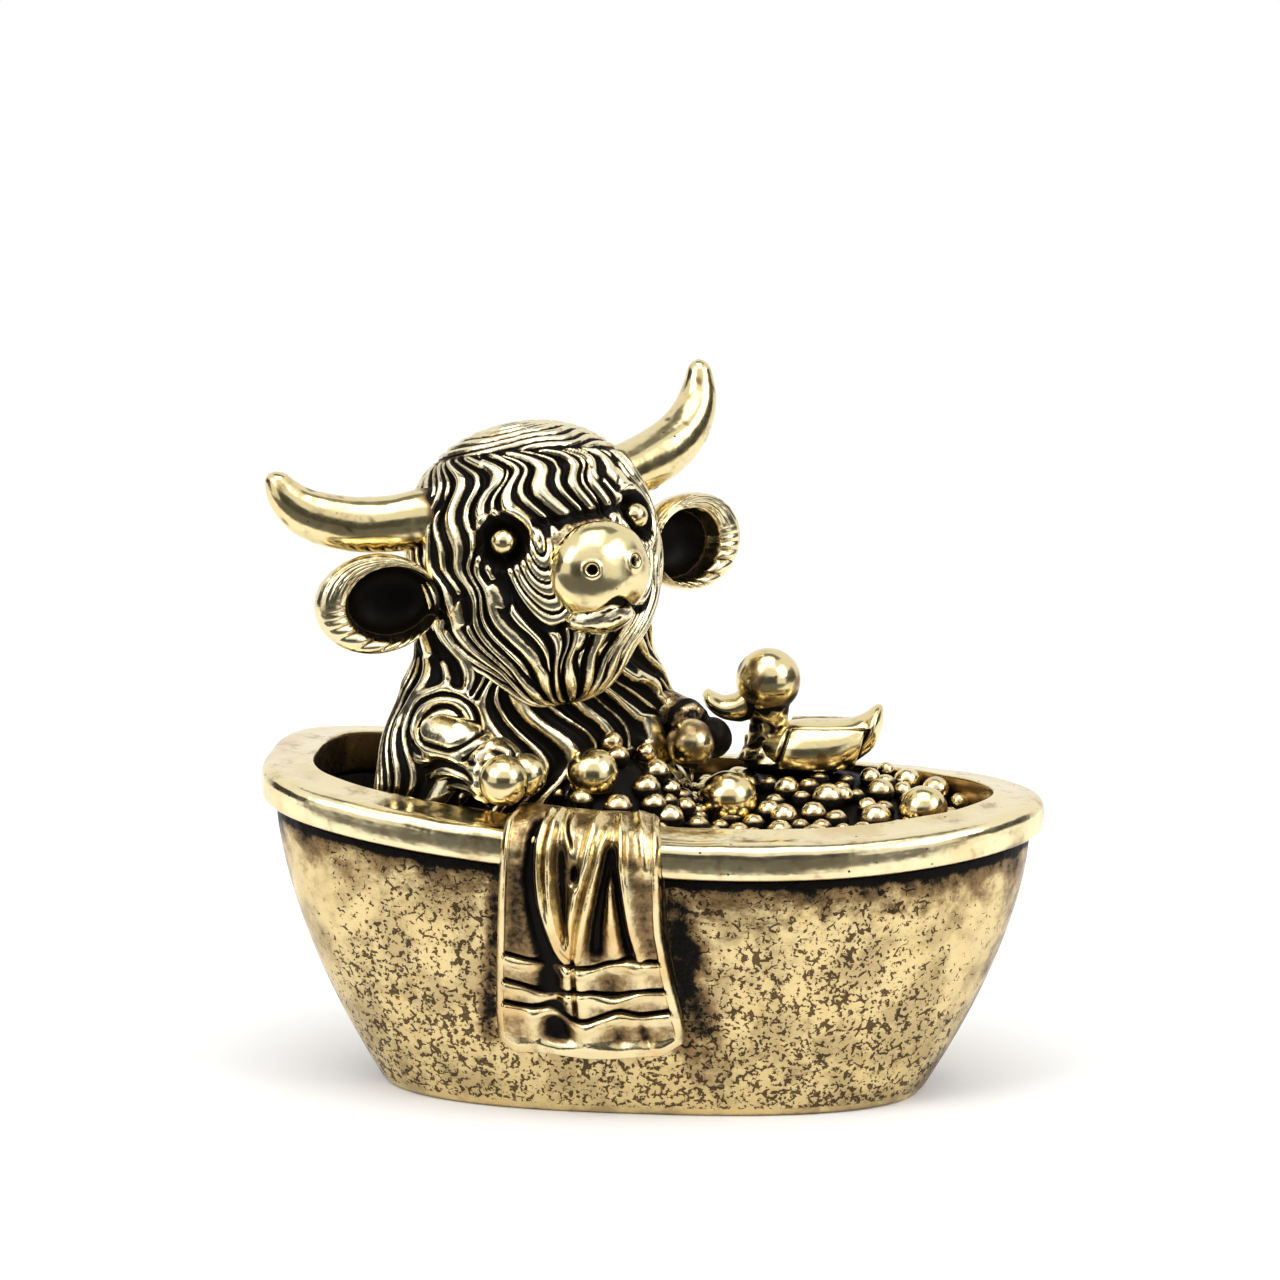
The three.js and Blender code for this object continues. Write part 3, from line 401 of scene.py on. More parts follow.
class NodeBoard:
    """Adds nodes to one material and links them, with lengths in millimetres."""

    def __init__(self, name: str) -> None:
        """Starts a material that holds an output and a Principled shader.

        Args:
            name: the material's name.
        """
        self.material = bpy.data.materials.new(name)
        self.material.use_nodes = True
        self.tree = self.material.node_tree
        self.shader = self.tree.nodes["Principled BSDF"]
        self.place = self.tree.nodes.new("ShaderNodeTexCoord").outputs["Object"]

    def link(self, source: Value, socket: Socket) -> None:
        """Links a socket, or writes a number on the socket itself.

        Args:
            source: an output, or a number.
            socket: the input that takes it.
        """
        if isinstance(source, (int, float)):
            socket.default_value = source
        else:
            self.tree.links.new(source, socket)

    def attribute(self, name: str) -> Socket:
        """The value of a point attribute.

        Args:
            name: the attribute's name.

        Returns:
            Its value.
        """
        node = self.tree.nodes.new("ShaderNodeAttribute")
        node.attribute_name = name
        return node.outputs["Fac"]

    def noise(self, size: float, detail: float, roughness: float = 0.5) -> Socket:
        """Noise with features of about one size, between 0 and 1.

        Args:
            size: feature size in millimetres.
            detail: octaves.
            roughness: weight of the finer octaves.

        Returns:
            The noise value.
        """
        node = self.tree.nodes.new("ShaderNodeTexNoise")
        node.inputs["Scale"].default_value = 1.0 / (size * MM)
        node.inputs["Detail"].default_value = detail
        node.inputs["Roughness"].default_value = roughness
        self.tree.links.new(self.place, node.inputs["Vector"])
        return node.outputs["Fac"]

    def cells(self, size: float, feature: str = "F1") -> Socket:
        """A cell pattern.

        Args:
            size: cell size in millimetres.
            feature: F1 for the distance to the nearest seed, DISTANCE_TO_EDGE for that to the nearest edge.

        Returns:
            The distance, in cell sizes.
        """
        node = self.tree.nodes.new("ShaderNodeTexVoronoi")
        node.feature = feature
        node.inputs["Scale"].default_value = 1.0 / (size * MM)
        self.tree.links.new(self.place, node.inputs["Vector"])
        return node.outputs["Distance"]

    def math(self, operation: str, first: Value, second: Value = 0.0) -> Socket:
        """One sum, product or the like of two values.

        Args:
            operation: its name in the Math node.
            first: first value.
            second: second value.

        Returns:
            The result.
        """
        node = self.tree.nodes.new("ShaderNodeMath")
        node.operation = operation
        self.link(first, node.inputs[0])
        self.link(second, node.inputs[1])
        return node.outputs[0]

    def centred(self, value: Socket, amount: float) -> Socket:
        """Turns a value between 0 and 1 into one that swings round 0, times an amount."""
        return self.math("MULTIPLY", self.math("SUBTRACT", value, 0.5), amount)

    def step(self, value: Socket, low: float, high: float, start: float = 0.0, end: float = 1.0) -> Socket:
        """Goes smoothly from one level to another as a value rises.

        Args:
            value: what is read.
            low: where the change begins.
            high: where it ends.
            start: level at low.
            end: level at high.

        Returns:
            The level.
        """
        node = self.tree.nodes.new("ShaderNodeMapRange")
        node.interpolation_type = "SMOOTHSTEP"
        self.link(value, node.inputs["Value"])
        for name, number in (("From Min", low), ("From Max", high), ("To Min", start), ("To Max", end)):
            node.inputs[name].default_value = number
        return node.outputs["Result"]

    def blend(self, share: Socket, first: Colour | Socket, second: Colour | Socket) -> Socket:
        """Mixes two colours by a share that varies over the surface.

        Args:
            share: 0 for the first, 1 for the second.
            first: first colour.
            second: second colour.

        Returns:
            The mixed colour.
        """
        node = self.tree.nodes.new("ShaderNodeMix")
        node.data_type = "RGBA"
        self.link(share, node.inputs["Factor"])
        for colour, socket in ((first, node.inputs["A"]), (second, node.inputs["B"])):
            if isinstance(colour, tuple):
                socket.default_value = (*colour, 1.0)
            else:
                self.tree.links.new(colour, socket)
        return node.outputs["Result"]

    def axis(self, name: str) -> Socket:
        """One coordinate of the place.

        Args:
            name: X, Y or Z.

        Returns:
            The coordinate, in metres.
        """
        node = self.tree.nodes.new("ShaderNodeSeparateXYZ")
        self.tree.links.new(self.place, node.inputs[0])
        return node.outputs[name]

    def bump(self, height: Socket, depth: float) -> None:
        """Feeds a height to the shader's normal.

        Args:
            height: the height, around 0 to 1.
            depth: what 1 stands for, in millimetres.
        """
        node = self.tree.nodes.new("ShaderNodeBump")
        node.inputs["Strength"].default_value = 1.0
        node.inputs["Distance"].default_value = depth * MM
        self.tree.links.new(height, node.inputs["Height"])
        self.tree.links.new(node.outputs["Normal"], self.shader.inputs["Normal"])


@dataclass(frozen=True)
class CastBrass:
    """Cast brass that was blackened and rubbed back where hands and wheels reach, and darkened where painted
    shade lies.
    """

    name: str
    slot: str
    wear: Wear
    gold: Colour = (0.82, 0.69, 0.40)
    warm: Colour = (0.64, 0.46, 0.19)
    bronze: Colour = (0.24, 0.155, 0.07)
    black: Colour = (0.004, 0.003, 0.002)
    rubbed_from: float = 0.42
    rubbed_to: float = 0.66
    gloss: float = 0.14
    dull: float = 0.4
    warm_share: float = 0.3
    tarnish: float = 0.35
    grain: float = 0.35
    grain_depth: float = 0.02

    def material(self) -> bpy.types.Material:
        """Builds the finish's node material.

        Returns:
            The material.
        """
        board = NodeBoard(self.name)
        builders = {Wear.CARVED: self.carved, Wear.PITTED: self.pitted, Wear.POLISHED: self.polished}
        builders[self.wear](board)
        return board.material

    def tinted(self, board: NodeBoard) -> Socket:
        """The metal's own colour: pale gold that drifts to a warmer one in soft patches.

        Args:
            board: the material's nodes.

        Returns:
            The colour.
        """
        patches = board.step(board.noise(2.6, 3.0, 0.6), 0.42, 0.72)
        share = board.math("MULTIPLY", patches, self.warm_share)
        return board.blend(share, self.gold, self.warm)

    def dress(self, board: NodeBoard, worn_and_unshaded: Socket, low: float, high: float) -> None:
        """Lays black and then bronze over the metal where it isn't rubbed bare, and where painted shade lies.

        Args:
            board: the material's nodes.
            worn_and_unshaded: 0 where the black lies, a half where bronze shows, 1 where the metal is bare.
            low: roughness of the smoothest bare metal.
            high: roughness of the dullest bare metal.
        """
        inputs = board.shader.inputs
        spots = board.step(board.noise(1.5, 4.0, 0.65), 0.50, 0.74, 1.0, 1.0 - self.tarnish)
        level = board.math("MULTIPLY", worn_and_unshaded, spots)
        metal = board.blend(board.step(level, 0.4, 1.0), self.bronze, self.tinted(board))
        board.link(board.blend(board.step(level, 0.0, 0.45), self.black, metal), inputs["Base Color"])
        board.link(board.step(level, 0.1, 0.4), inputs["Metallic"])
        inputs["Specular IOR Level"].default_value = 0.06
        node = board.tree.nodes.new("ShaderNodeMix")
        board.link(level, node.inputs["Factor"])
        node.inputs["A"].default_value = self.dull
        board.link(board.step(board.noise(0.6, 3.0), 0.3, 0.75, low, high), node.inputs["B"])
        board.link(node.outputs["Result"], inputs["Roughness"])

    def carved(self, board: NodeBoard) -> None:
        """Furrows and painted shade stay black, and the edge of the bare metal is broken by fine grain.

        Args:
            board: the material's nodes.
        """
        ragged = board.centred(board.noise(0.3, 3.0, 0.6), 0.36)
        relief = board.math("ADD", board.attribute("relief"), ragged)
        self.dress(board, board.step(relief, self.rubbed_from, self.rubbed_to), self.gloss, self.gloss + 0.12)
        board.bump(board.noise(self.grain, 3.0, 0.6), self.grain_depth)

    def polished(self, board: NodeBoard) -> None:
        """Bright metal, black in the deepest recesses and in painted shade, with soft unevenness and pin
        holes.

        Args:
            board: the material's nodes.
        """
        holes = board.step(board.cells(0.75), 0.05, 0.10)
        spotted = board.math("MAXIMUM", holes, board.step(board.noise(1.7, 2.0), 0.44, 0.52))
        bare = board.math("MULTIPLY", board.step(board.attribute("relief"), 0.12, 0.5), spotted)
        self.dress(board, bare, self.gloss, self.gloss + 0.08)
        board.bump(board.noise(1.1, 2.0), self.grain_depth)

    def pitted(self, board: NodeBoard) -> None:
        """Satin metal with short cracks and dots, denser low down and rarer at the tub's two ends.

        Args:
            board: the material's nodes.
        """
        low_down = board.step(board.axis("Z"), 11.5 * MM, 3.0 * MM, -0.01, 0.03)
        ends = board.step(board.math("ABSOLUTE", board.axis("X")), 12.5 * MM, 16.5 * MM)
        patch = board.centred(board.noise(3.0, 3.0, 0.6), 0.15)
        amount = board.math("ADD", low_down, patch)
        amount = board.math("SUBTRACT", amount, board.math("MULTIPLY", ends, 0.10))
        broken = board.step(board.noise(0.45, 2.0, 0.6), 0.42, 0.66, -0.12, 0.10)
        width = board.math("ADD", broken, amount)
        cracks = board.math("SUBTRACT", board.cells(0.46, "DISTANCE_TO_EDGE"), width)
        dots_free = board.step(board.math("ADD", board.noise(0.26, 2.0, 0.6), amount), 0.57, 0.66, 1.0, 0.0)
        foot_band = board.step(board.axis("Z"), 0.5 * MM, 0.35 * MM)
        pits_free = board.math("MULTIPLY", board.step(cracks, -0.015, 0.05), dots_free)
        pits_free = board.math("MAXIMUM", pits_free, foot_band)
        cloud = board.centred(board.noise(1.1, 4.0, 0.7), 1.1)
        # The relief attribute holds the wall's patina together with its painted shade under the rim and
        # beside the towel.
        clean_and_unshaded = board.step(board.math("ADD", board.attribute("relief"), cloud), 0.15, 0.95)
        film = board.step(board.noise(2.4, 4.0, 0.6), 0.40, 0.60, 0.72, 1.0)
        bare = board.math("MULTIPLY", clean_and_unshaded, film)
        bare = board.math("MULTIPLY", bare, board.step(pits_free, 0.0, 1.0, 0.22, 1.0))
        self.dress(board, bare, self.gloss, self.gloss + 0.12)
        hammered = board.math("MULTIPLY", board.noise(1.0, 3.0, 0.5), 3.0)
        board.bump(board.math("ADD", pits_free, hammered), self.grain_depth * 2.5)


COAT = CastBrass(
    "coat_brass",
    "coat_brass",
    Wear.CARVED,
    gold=(0.86, 0.77, 0.52),
    rubbed_from=0.50,
    rubbed_to=0.70,
    gloss=0.12,
)
EAR = CastBrass(
    "ear_brass",
    "coat_brass",
    Wear.CARVED,
    gold=(0.84, 0.73, 0.46),
    rubbed_from=0.30,
    rubbed_to=0.70,
)
BRIGHT = CastBrass(
    "polished_brass",
    "polished_brass",
    Wear.POLISHED,
    gold=(0.80, 0.67, 0.36),
    grain_depth=0.03,
)
RIM = CastBrass(
    "rim_brass",
    "rim_brass",
    Wear.POLISHED,
    gold=(0.88, 0.76, 0.46),
    warm=(0.66, 0.44, 0.18),
    warm_share=0.5,
    grain_depth=0.04,
)
CLOTH = CastBrass(
    "towel_brass",
    "towel_brass",
    Wear.CARVED,
    warm=(0.64, 0.40, 0.14),
    rubbed_from=0.08,
    rubbed_to=0.68,
    warm_share=0.7,
)
FOAM = CastBrass(
    "foam_brass",
    "foam_brass",
    Wear.CARVED,
    warm=(0.62, 0.40, 0.20),
    rubbed_from=0.32,
    rubbed_to=0.85,
    warm_share=0.7,
    tarnish=0.3,
)
WORN = CastBrass(
    "worn_brass",
    "worn_brass",
    Wear.PITTED,
    gold=(0.76, 0.60, 0.30),
    warm=(0.62, 0.42, 0.15),
    gloss=0.23,
    tarnish=0.2,
)


class Workshop:
    """Makes pieces out of skins, each with its finish, its body and the node that it stands for."""

    def __init__(self) -> None:
        """Starts with no material made."""
        self.materials: dict[str, bpy.types.Material] = {}

    def piece(self, name: str, skin: Skin, finish: CastBrass, *nodes: str) -> bpy.types.Object:
        """Makes one finished piece.

        Args:
            name: the piece's name.
            skin: its closed skin in the ornament's frame.
            finish: what it is made of.
            nodes: the CAD nodes that it stands for.

        Returns:
            The piece's object.
        """
        if finish.name not in self.materials:
            self.materials[finish.name] = finish.material()
        piece = write_mesh(name, skin)
        piece.data.materials.append(self.materials[finish.name])
        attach(piece, BODY)
        if nodes:
            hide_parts(*nodes)
        LOG.info("%s: %d faces", name, len(piece.data.polygons))
        return piece


# Tub.


@dataclass
class Tub:
    """The oval tub with its rolled rim."""

    length: float = 36.6
    width: float = 18.8
    height: float = 12.4
    squareness: float = 2.55
    head_end_squareness: float = 0.6
    head_end_rise: float = 0.78
    end_sweep: float = 1.19
    swell: float = 1.6
    foot_length: float = 26.5
    foot_width: float = 13.8
    foot_edge: float = 0.25
    rim_length: float = 38.0
    rim_width: float = 20.2
    rim_band: float = 2.5
    rim_height: float = 2.05
    rim_shoulder: float = 1.0
    crown_drop: float = 0.25
    lip_radius: float = 0.45
    seam: float = 0.1
    well_floor: float = 10.8
    columns: int = 480

    def top_edge(self, x: Array) -> Array:
        """Height of the wall's top edge: a slope along the tub plus a square that lifts both ends."""
        share = x / (self.rim_length / 2.0)
        return self.height - self.head_end_rise * share + self.end_sweep * share**2

    def oval(self, length: Array, width: Array, swell: Array, angle: Array) -> tuple[Array, Array]:
        """A superellipse whose exponent falls from the head end to the other.

        x and y are half the length and width times the cosine and the sine to the power of two over the
        exponent, each with its sign kept.

        Args:
            length: full length.
            width: full width.
            swell: share of the change of exponent.
            angle: angle from +X.

        Returns:
            x and y.
        """
        power = 2.0 / (self.squareness - self.head_end_squareness * swell * np.cos(angle))
        c, s = np.cos(angle), np.sin(angle)
        x = length / 2.0 * np.sign(c) * np.abs(c) ** power
        y = width / 2.0 * np.sign(s) * np.abs(s) ** power
        return x, y

    def wall(self, share: Array) -> tuple[Array, Array, Array]:
        """Length, width and swell of the outside at a share of the height, which grow along a power curve."""
        swell = 1.0 - (1.0 - np.clip(share, 0.0, 1.0)) ** self.swell
        return mix(self.foot_length, self.length, swell), mix(self.foot_width, self.width, swell), swell

    def front(self, x: Array, length: Array, width: Array, swell: Array) -> Array:
        """The line of the towel side of an oval, read off a fine table of its points.

        Args:
            x: places along the tub.
            length: the oval's full length.
            width: its full width.
            swell: its share of the change of exponent.

        Returns:
            The y at each x.
        """
        angle = np.linspace(-np.pi, 0.0, 721)
        table_x, table_y = self.oval(length, width, swell, angle)
        return np.interp(x, table_x, table_y)

    def rim_front(self, x: Array, inset: float) -> Array:
        """The y of the rim's towel side at each x, drawn in by an inset."""
        return self.front(x, self.rim_length - 2 * inset, self.rim_width - 2 * inset, 1.0)

    def wall_skin(self) -> Skin:
        """The wall as a closed skin: foot, outside, top edge and the well that the foam sits in.

        Returns:
            The skin, in the ornament's frame.
        """
        angle = round_angles(self.columns)[None, :]
        share = np.linspace(0.03, 1.0, 110)[:, None]
        length, width, swell = self.wall(share)
        x, y = self.oval(length, width, swell, angle)
        z = share * self.top_edge(x)
        outside = np.stack([x, y, z], axis=-1)
        foot = []
        for inset, height in ((1.2, 0.0), (self.foot_edge, 0.0), (0.08, 0.07), (0.0, self.foot_edge)):
            sizes = self.wall(np.array(height / self.height))
            x, y = self.oval(sizes[0] - 2 * inset, sizes[1] - 2 * inset, sizes[2], angle)
            foot.append(np.stack([x, y, np.full_like(x, height)], axis=-1))
        inner = []
        for inset, drop in ((1.2, 0.0), (1.85, 0.0)):
            x, y = self.oval(self.rim_length - 2 * inset, self.rim_width - 2 * inset, 1.0, angle)
            inner.append(np.stack([x, y, self.top_edge(x) - drop], axis=-1))
        x, y = self.oval(self.rim_length - 2 * self.rim_band, self.rim_width - 2 * self.rim_band, 1.0, angle)
        inner.append(np.stack([x, y, self.top_edge(x)], axis=-1))
        inner.append(np.stack([x, y, np.full_like(x, self.well_floor)], axis=-1))
        rings = np.concatenate([*foot, outside, *inner])
        return capped_skin(rings, self.wall_shade(rings))

    def wall_shade(self, points: Array) -> Array:
        """How light the wall is: painted shade and patina under the rim, painted shadow and patina beside the
        towel.

        Args:
            points: places on the wall.

        Returns:
            1 where the wall is bare and unshaded, 0 where it is black.
        """
        x, y, z = points[..., 0], points[..., 1], points[..., 2]
        below_rim = self.top_edge(x) - z
        mottled = 0.5 + 0.5 * ripple(points, 1.6, 7)
        # Painted shade and patina under the rim: a dark line under its overhang, mottled below.
        line = 1.1 * mound(below_rim, 0.36) + (0.25 + 0.6 * mottled) * mound(below_rim, 2.0)
        climb = smooth(3.0, 12.0, z)
        # Painted shadow and patina beside the towel's right and left edges, where it stands off the wall.
        right = mound(x - mix(3.1, 1.9, climb), 1.3) * smooth(0.8, 5.0, z) * (0.55 + 0.5 * mottled)
        left = mound(x - mix(-7.2, -6.5, climb), 0.6) * smooth(2.0, 5.0, z)
        beside = np.where(y < 0.0, np.maximum(0.95 * right, 0.7 * left), 0.0)
        length, _, _ = self.wall(z / self.height)
        # Darker towards the tub's two ends.
        ends = smooth(0.92, 0.985, np.abs(x) / length * 2.0) * (0.38 + 0.14 * ripple(points, 4.0, 9))
        return np.clip(1.0 - np.maximum(np.maximum(line, beside), ends), 0.0, 1.0)

    def rim_outline(self) -> Array:
        """The rim's section, from its lower lip up over the crown and back along its underside.

        Returns:
            Inset and height of each point of the closed loop.
        """
        crown = self.rim_height - self.crown_drop
        even = np.linspace(0.0, 1.0, 10)
        lip = bezier((self.lip_radius, 0.0), (0.0, 0.0), (0.0, self.lip_radius), share=even)
        start, fine = (0.0, self.rim_height - self.rim_shoulder), np.linspace(0.0, 1.0, 16)
        face = bezier((0.0, self.lip_radius), (-0.03, 0.75), start, share=even[1:])
        shoulder = bezier(start, (0.0, crown), (self.rim_shoulder, crown), share=fine[1:])
        inner, top_at = self.rim_band, self.rim_height
        top = bezier((self.rim_shoulder, crown), (1.8, crown + 0.06), (inner - 0.16, top_at), share=even[1:])
        edge = bezier((inner - 0.16, top_at), (inner, top_at + 0.02), (inner, top_at - 0.2), share=even[1:])
        inside = bezier((inner, top_at - 0.2), (inner, 1.0), (inner, 0.0), share=even[1:])
        under = bezier((self.rim_band, 0.0), (1.5, 0.0), (self.lip_radius, 0.0), share=even[1:-1])
        return np.concatenate([lip, face, shoulder, top, edge, inside, under])

    def rim_skin(self) -> Skin:
        """The rim: its section carried round the oval, with a slow unevenness from hand polishing.

        Returns:
            The skin, in the ornament's frame.
        """
        outline = self.rim_outline()
        inset, height = outline[:, :1], outline[:, 1:]
        angle = round_angles(self.columns)[None, :]
        x, y = self.oval(self.rim_length - 2 * inset, self.rim_width - 2 * inset, 1.0, angle)
        rings = np.stack([x, y, self.top_edge(x) + self.seam + height], axis=-1)
        uneven = 0.035 * ripple(rings, 3.0, 5) * smooth(0.1, 0.6, height)
        rings[..., 2] += np.minimum(uneven, 0.02)
        # Painted shade and patina: the rim's underside and inner face are darkened.
        depth = np.broadcast_to(smooth(-0.1, 0.35, height) * smooth(2.6, 2.3, inset), x.shape)
        # Darker and blotchy towards the rim's two ends.
        ends = smooth(0.76, 0.95, np.abs(x) / self.rim_length * 2.0)
        patina = 0.36 + 0.12 * ripple(rings, 3.2, 11)
        return hoop_skin(rings, mix(np.maximum(depth, 0.3), patina, 0.9 * ends))

    def build(self, workshop: Workshop) -> None:
        """Makes the wall and the rim."""
        workshop.piece("tub_wall", self.wall_skin(), WORN, "tub")
        workshop.piece("tub_roll_rim", self.rim_skin(), RIM, "tub_rim")


# Towel.


@dataclass(frozen=True)
class Fold:
    """One fold of the towel: a ridge, or a furrow where its height is negative.

    Its line is a run of places: across the towel from -1 to 1, and down it from 0 at the rim's crown
    to 1 at the hem.
    """

    height: float
    width: float
    line: tuple[tuple[float, float], ...]
    spread: float = 1.0

    def relief(self, across: Array, down: Array) -> Array:
        """A mound round the line, as wide as width at its top and width times spread at its end.

        Args:
            across: place across.
            down: place down.

        Returns:
            How far the fold stands out.
        """
        places = np.array(self.line)
        first, last = places[0, 1], places[-1, 1]
        middle = eased(down, places[:, 1], places[:, 0], 0.06)
        reach = self.width * mix(1.0, self.spread, smooth(first, last, down))
        fade = smooth(first - 0.03, first + 0.03, down) * smooth(last + 0.03, last - 0.03, down)
        return self.height * mound(across - middle, reach) * fade


FOLDS = (
    Fold(-0.50, 0.07, ((-0.52, 0.04), (-0.60, 0.13), (-0.63, 0.26), (-0.58, 0.38), (-0.48, 0.52),
                       (-0.38, 0.61), (-0.39, 0.71), (-0.32, 0.82), (-0.30, 0.95)), 2.0),
    Fold(0.36, 0.05, ((-0.44, 0.0), (-0.55, 0.14), (-0.53, 0.26), (-0.49, 0.37), (-0.38, 0.47),
                      (-0.29, 0.55), (-0.19, 0.60))),
    Fold(-0.25, 0.02, ((-0.36, 0.03), (-0.45, 0.15), (-0.46, 0.25), (-0.41, 0.37))),
    Fold(0.40, 0.06, ((-0.31, 0.0), (-0.40, 0.18), (-0.39, 0.33), (-0.33, 0.44), (-0.22, 0.53),
                      (-0.13, 0.57))),
    Fold(-0.30, 0.07, ((-0.24, 0.16), (-0.23, 0.29), (-0.20, 0.41), (-0.17, 0.50)), 0.5),
    Fold(0.24, 0.06, ((-0.22, 0.0), (-0.18, 0.10), (-0.15, 0.18))),
    Fold(-0.45, 0.02, ((-0.18, 0.02), (-0.20, 0.09), (-0.11, 0.16))),
    Fold(-0.60, 0.05, ((-0.07, 0.22), (-0.07, 0.25), (-0.07, 0.28))),
    Fold(0.40, 0.08, ((0.22, 0.0), (0.08, 0.18), (-0.05, 0.29), (-0.13, 0.41), (-0.15, 0.52)), 0.6),
    Fold(-0.22, 0.025, ((0.20, 0.16), (0.02, 0.33), (-0.08, 0.46), (-0.11, 0.57))),
    Fold(0.36, 0.06, ((0.33, 0.10), (0.18, 0.22), (0.05, 0.38), (-0.04, 0.50), (-0.08, 0.60)), 1.3),
    Fold(-0.50, 0.05, ((0.37, 0.16), (0.28, 0.29), (0.19, 0.44), (0.15, 0.57)), 1.7),
    Fold(-0.50, 0.05, ((0.39, 0.16), (0.46, 0.29), (0.52, 0.41), (0.57, 0.56)), 1.5),
    Fold(0.16, 0.04, ((0.37, 0.28), (0.37, 0.41), (0.39, 0.57)), 1.8),
    Fold(0.36, 0.06, ((0.47, 0.0), (0.51, 0.22), (0.57, 0.41), (0.65, 0.53), (0.71, 0.59))),
    Fold(0.20, 0.07, ((0.72, -0.05), (0.74, 0.06), (0.78, 0.14), (0.84, 0.24))),
    Fold(-0.12, 0.10, ((0.76, 0.24), (0.78, 0.40), (0.84, 0.56))),
    Fold(-0.16, 0.12, ((-0.80, 0.22), (-0.80, 0.40), (-0.76, 0.57))),
    Fold(-0.28, 0.022, ((-0.12, 0.57), (-0.12, 0.71), (-0.11, 0.84))),
    Fold(0.16, 0.07, ((-0.20, 0.62), (-0.20, 0.72), (-0.20, 0.83))),
    Fold(0.18, 0.07, ((-0.04, 0.62), (-0.03, 0.72), (-0.02, 0.83))),
    Fold(-0.14, 0.10, ((0.30, 0.65), (0.30, 0.70), (0.30, 0.75))),
    Fold(0.16, 0.10, ((0.62, 0.60), (0.62, 0.66), (0.62, 0.72))),
    Fold(0.15, 0.10, ((0.00, 0.86), (0.0, 0.93), (0.0, 1.0))),
    Fold(-0.16, 0.09, ((0.32, 0.88), (0.34, 0.93), (0.36, 0.98))),
    Fold(-0.20, 0.05, ((0.56, 0.86), (0.60, 0.92), (0.66, 0.98))),
    Fold(0.14, 0.07, ((-0.58, 0.82), (-0.56, 0.88), (-0.54, 0.94))),
)

# Each cross groove of the towel as places across and down it.
GROOVES = (
    ((-0.93, 0.575), (-0.48, 0.605), (-0.15, 0.613), (0.07, 0.622), (0.30, 0.592), (0.54, 0.572),
     (0.90, 0.585)),
    ((-0.95, 0.69), (-0.69, 0.71), (-0.43, 0.74), (-0.19, 0.73), (0.06, 0.73), (0.32, 0.742),
     (0.61, 0.71), (0.95, 0.71)),
    ((-0.95, 0.785), (-0.58, 0.80), (-0.37, 0.795), (-0.15, 0.85), (0.0, 0.855), (0.16, 0.83),
     (0.35, 0.80), (0.57, 0.82), (0.95, 0.795)),
)


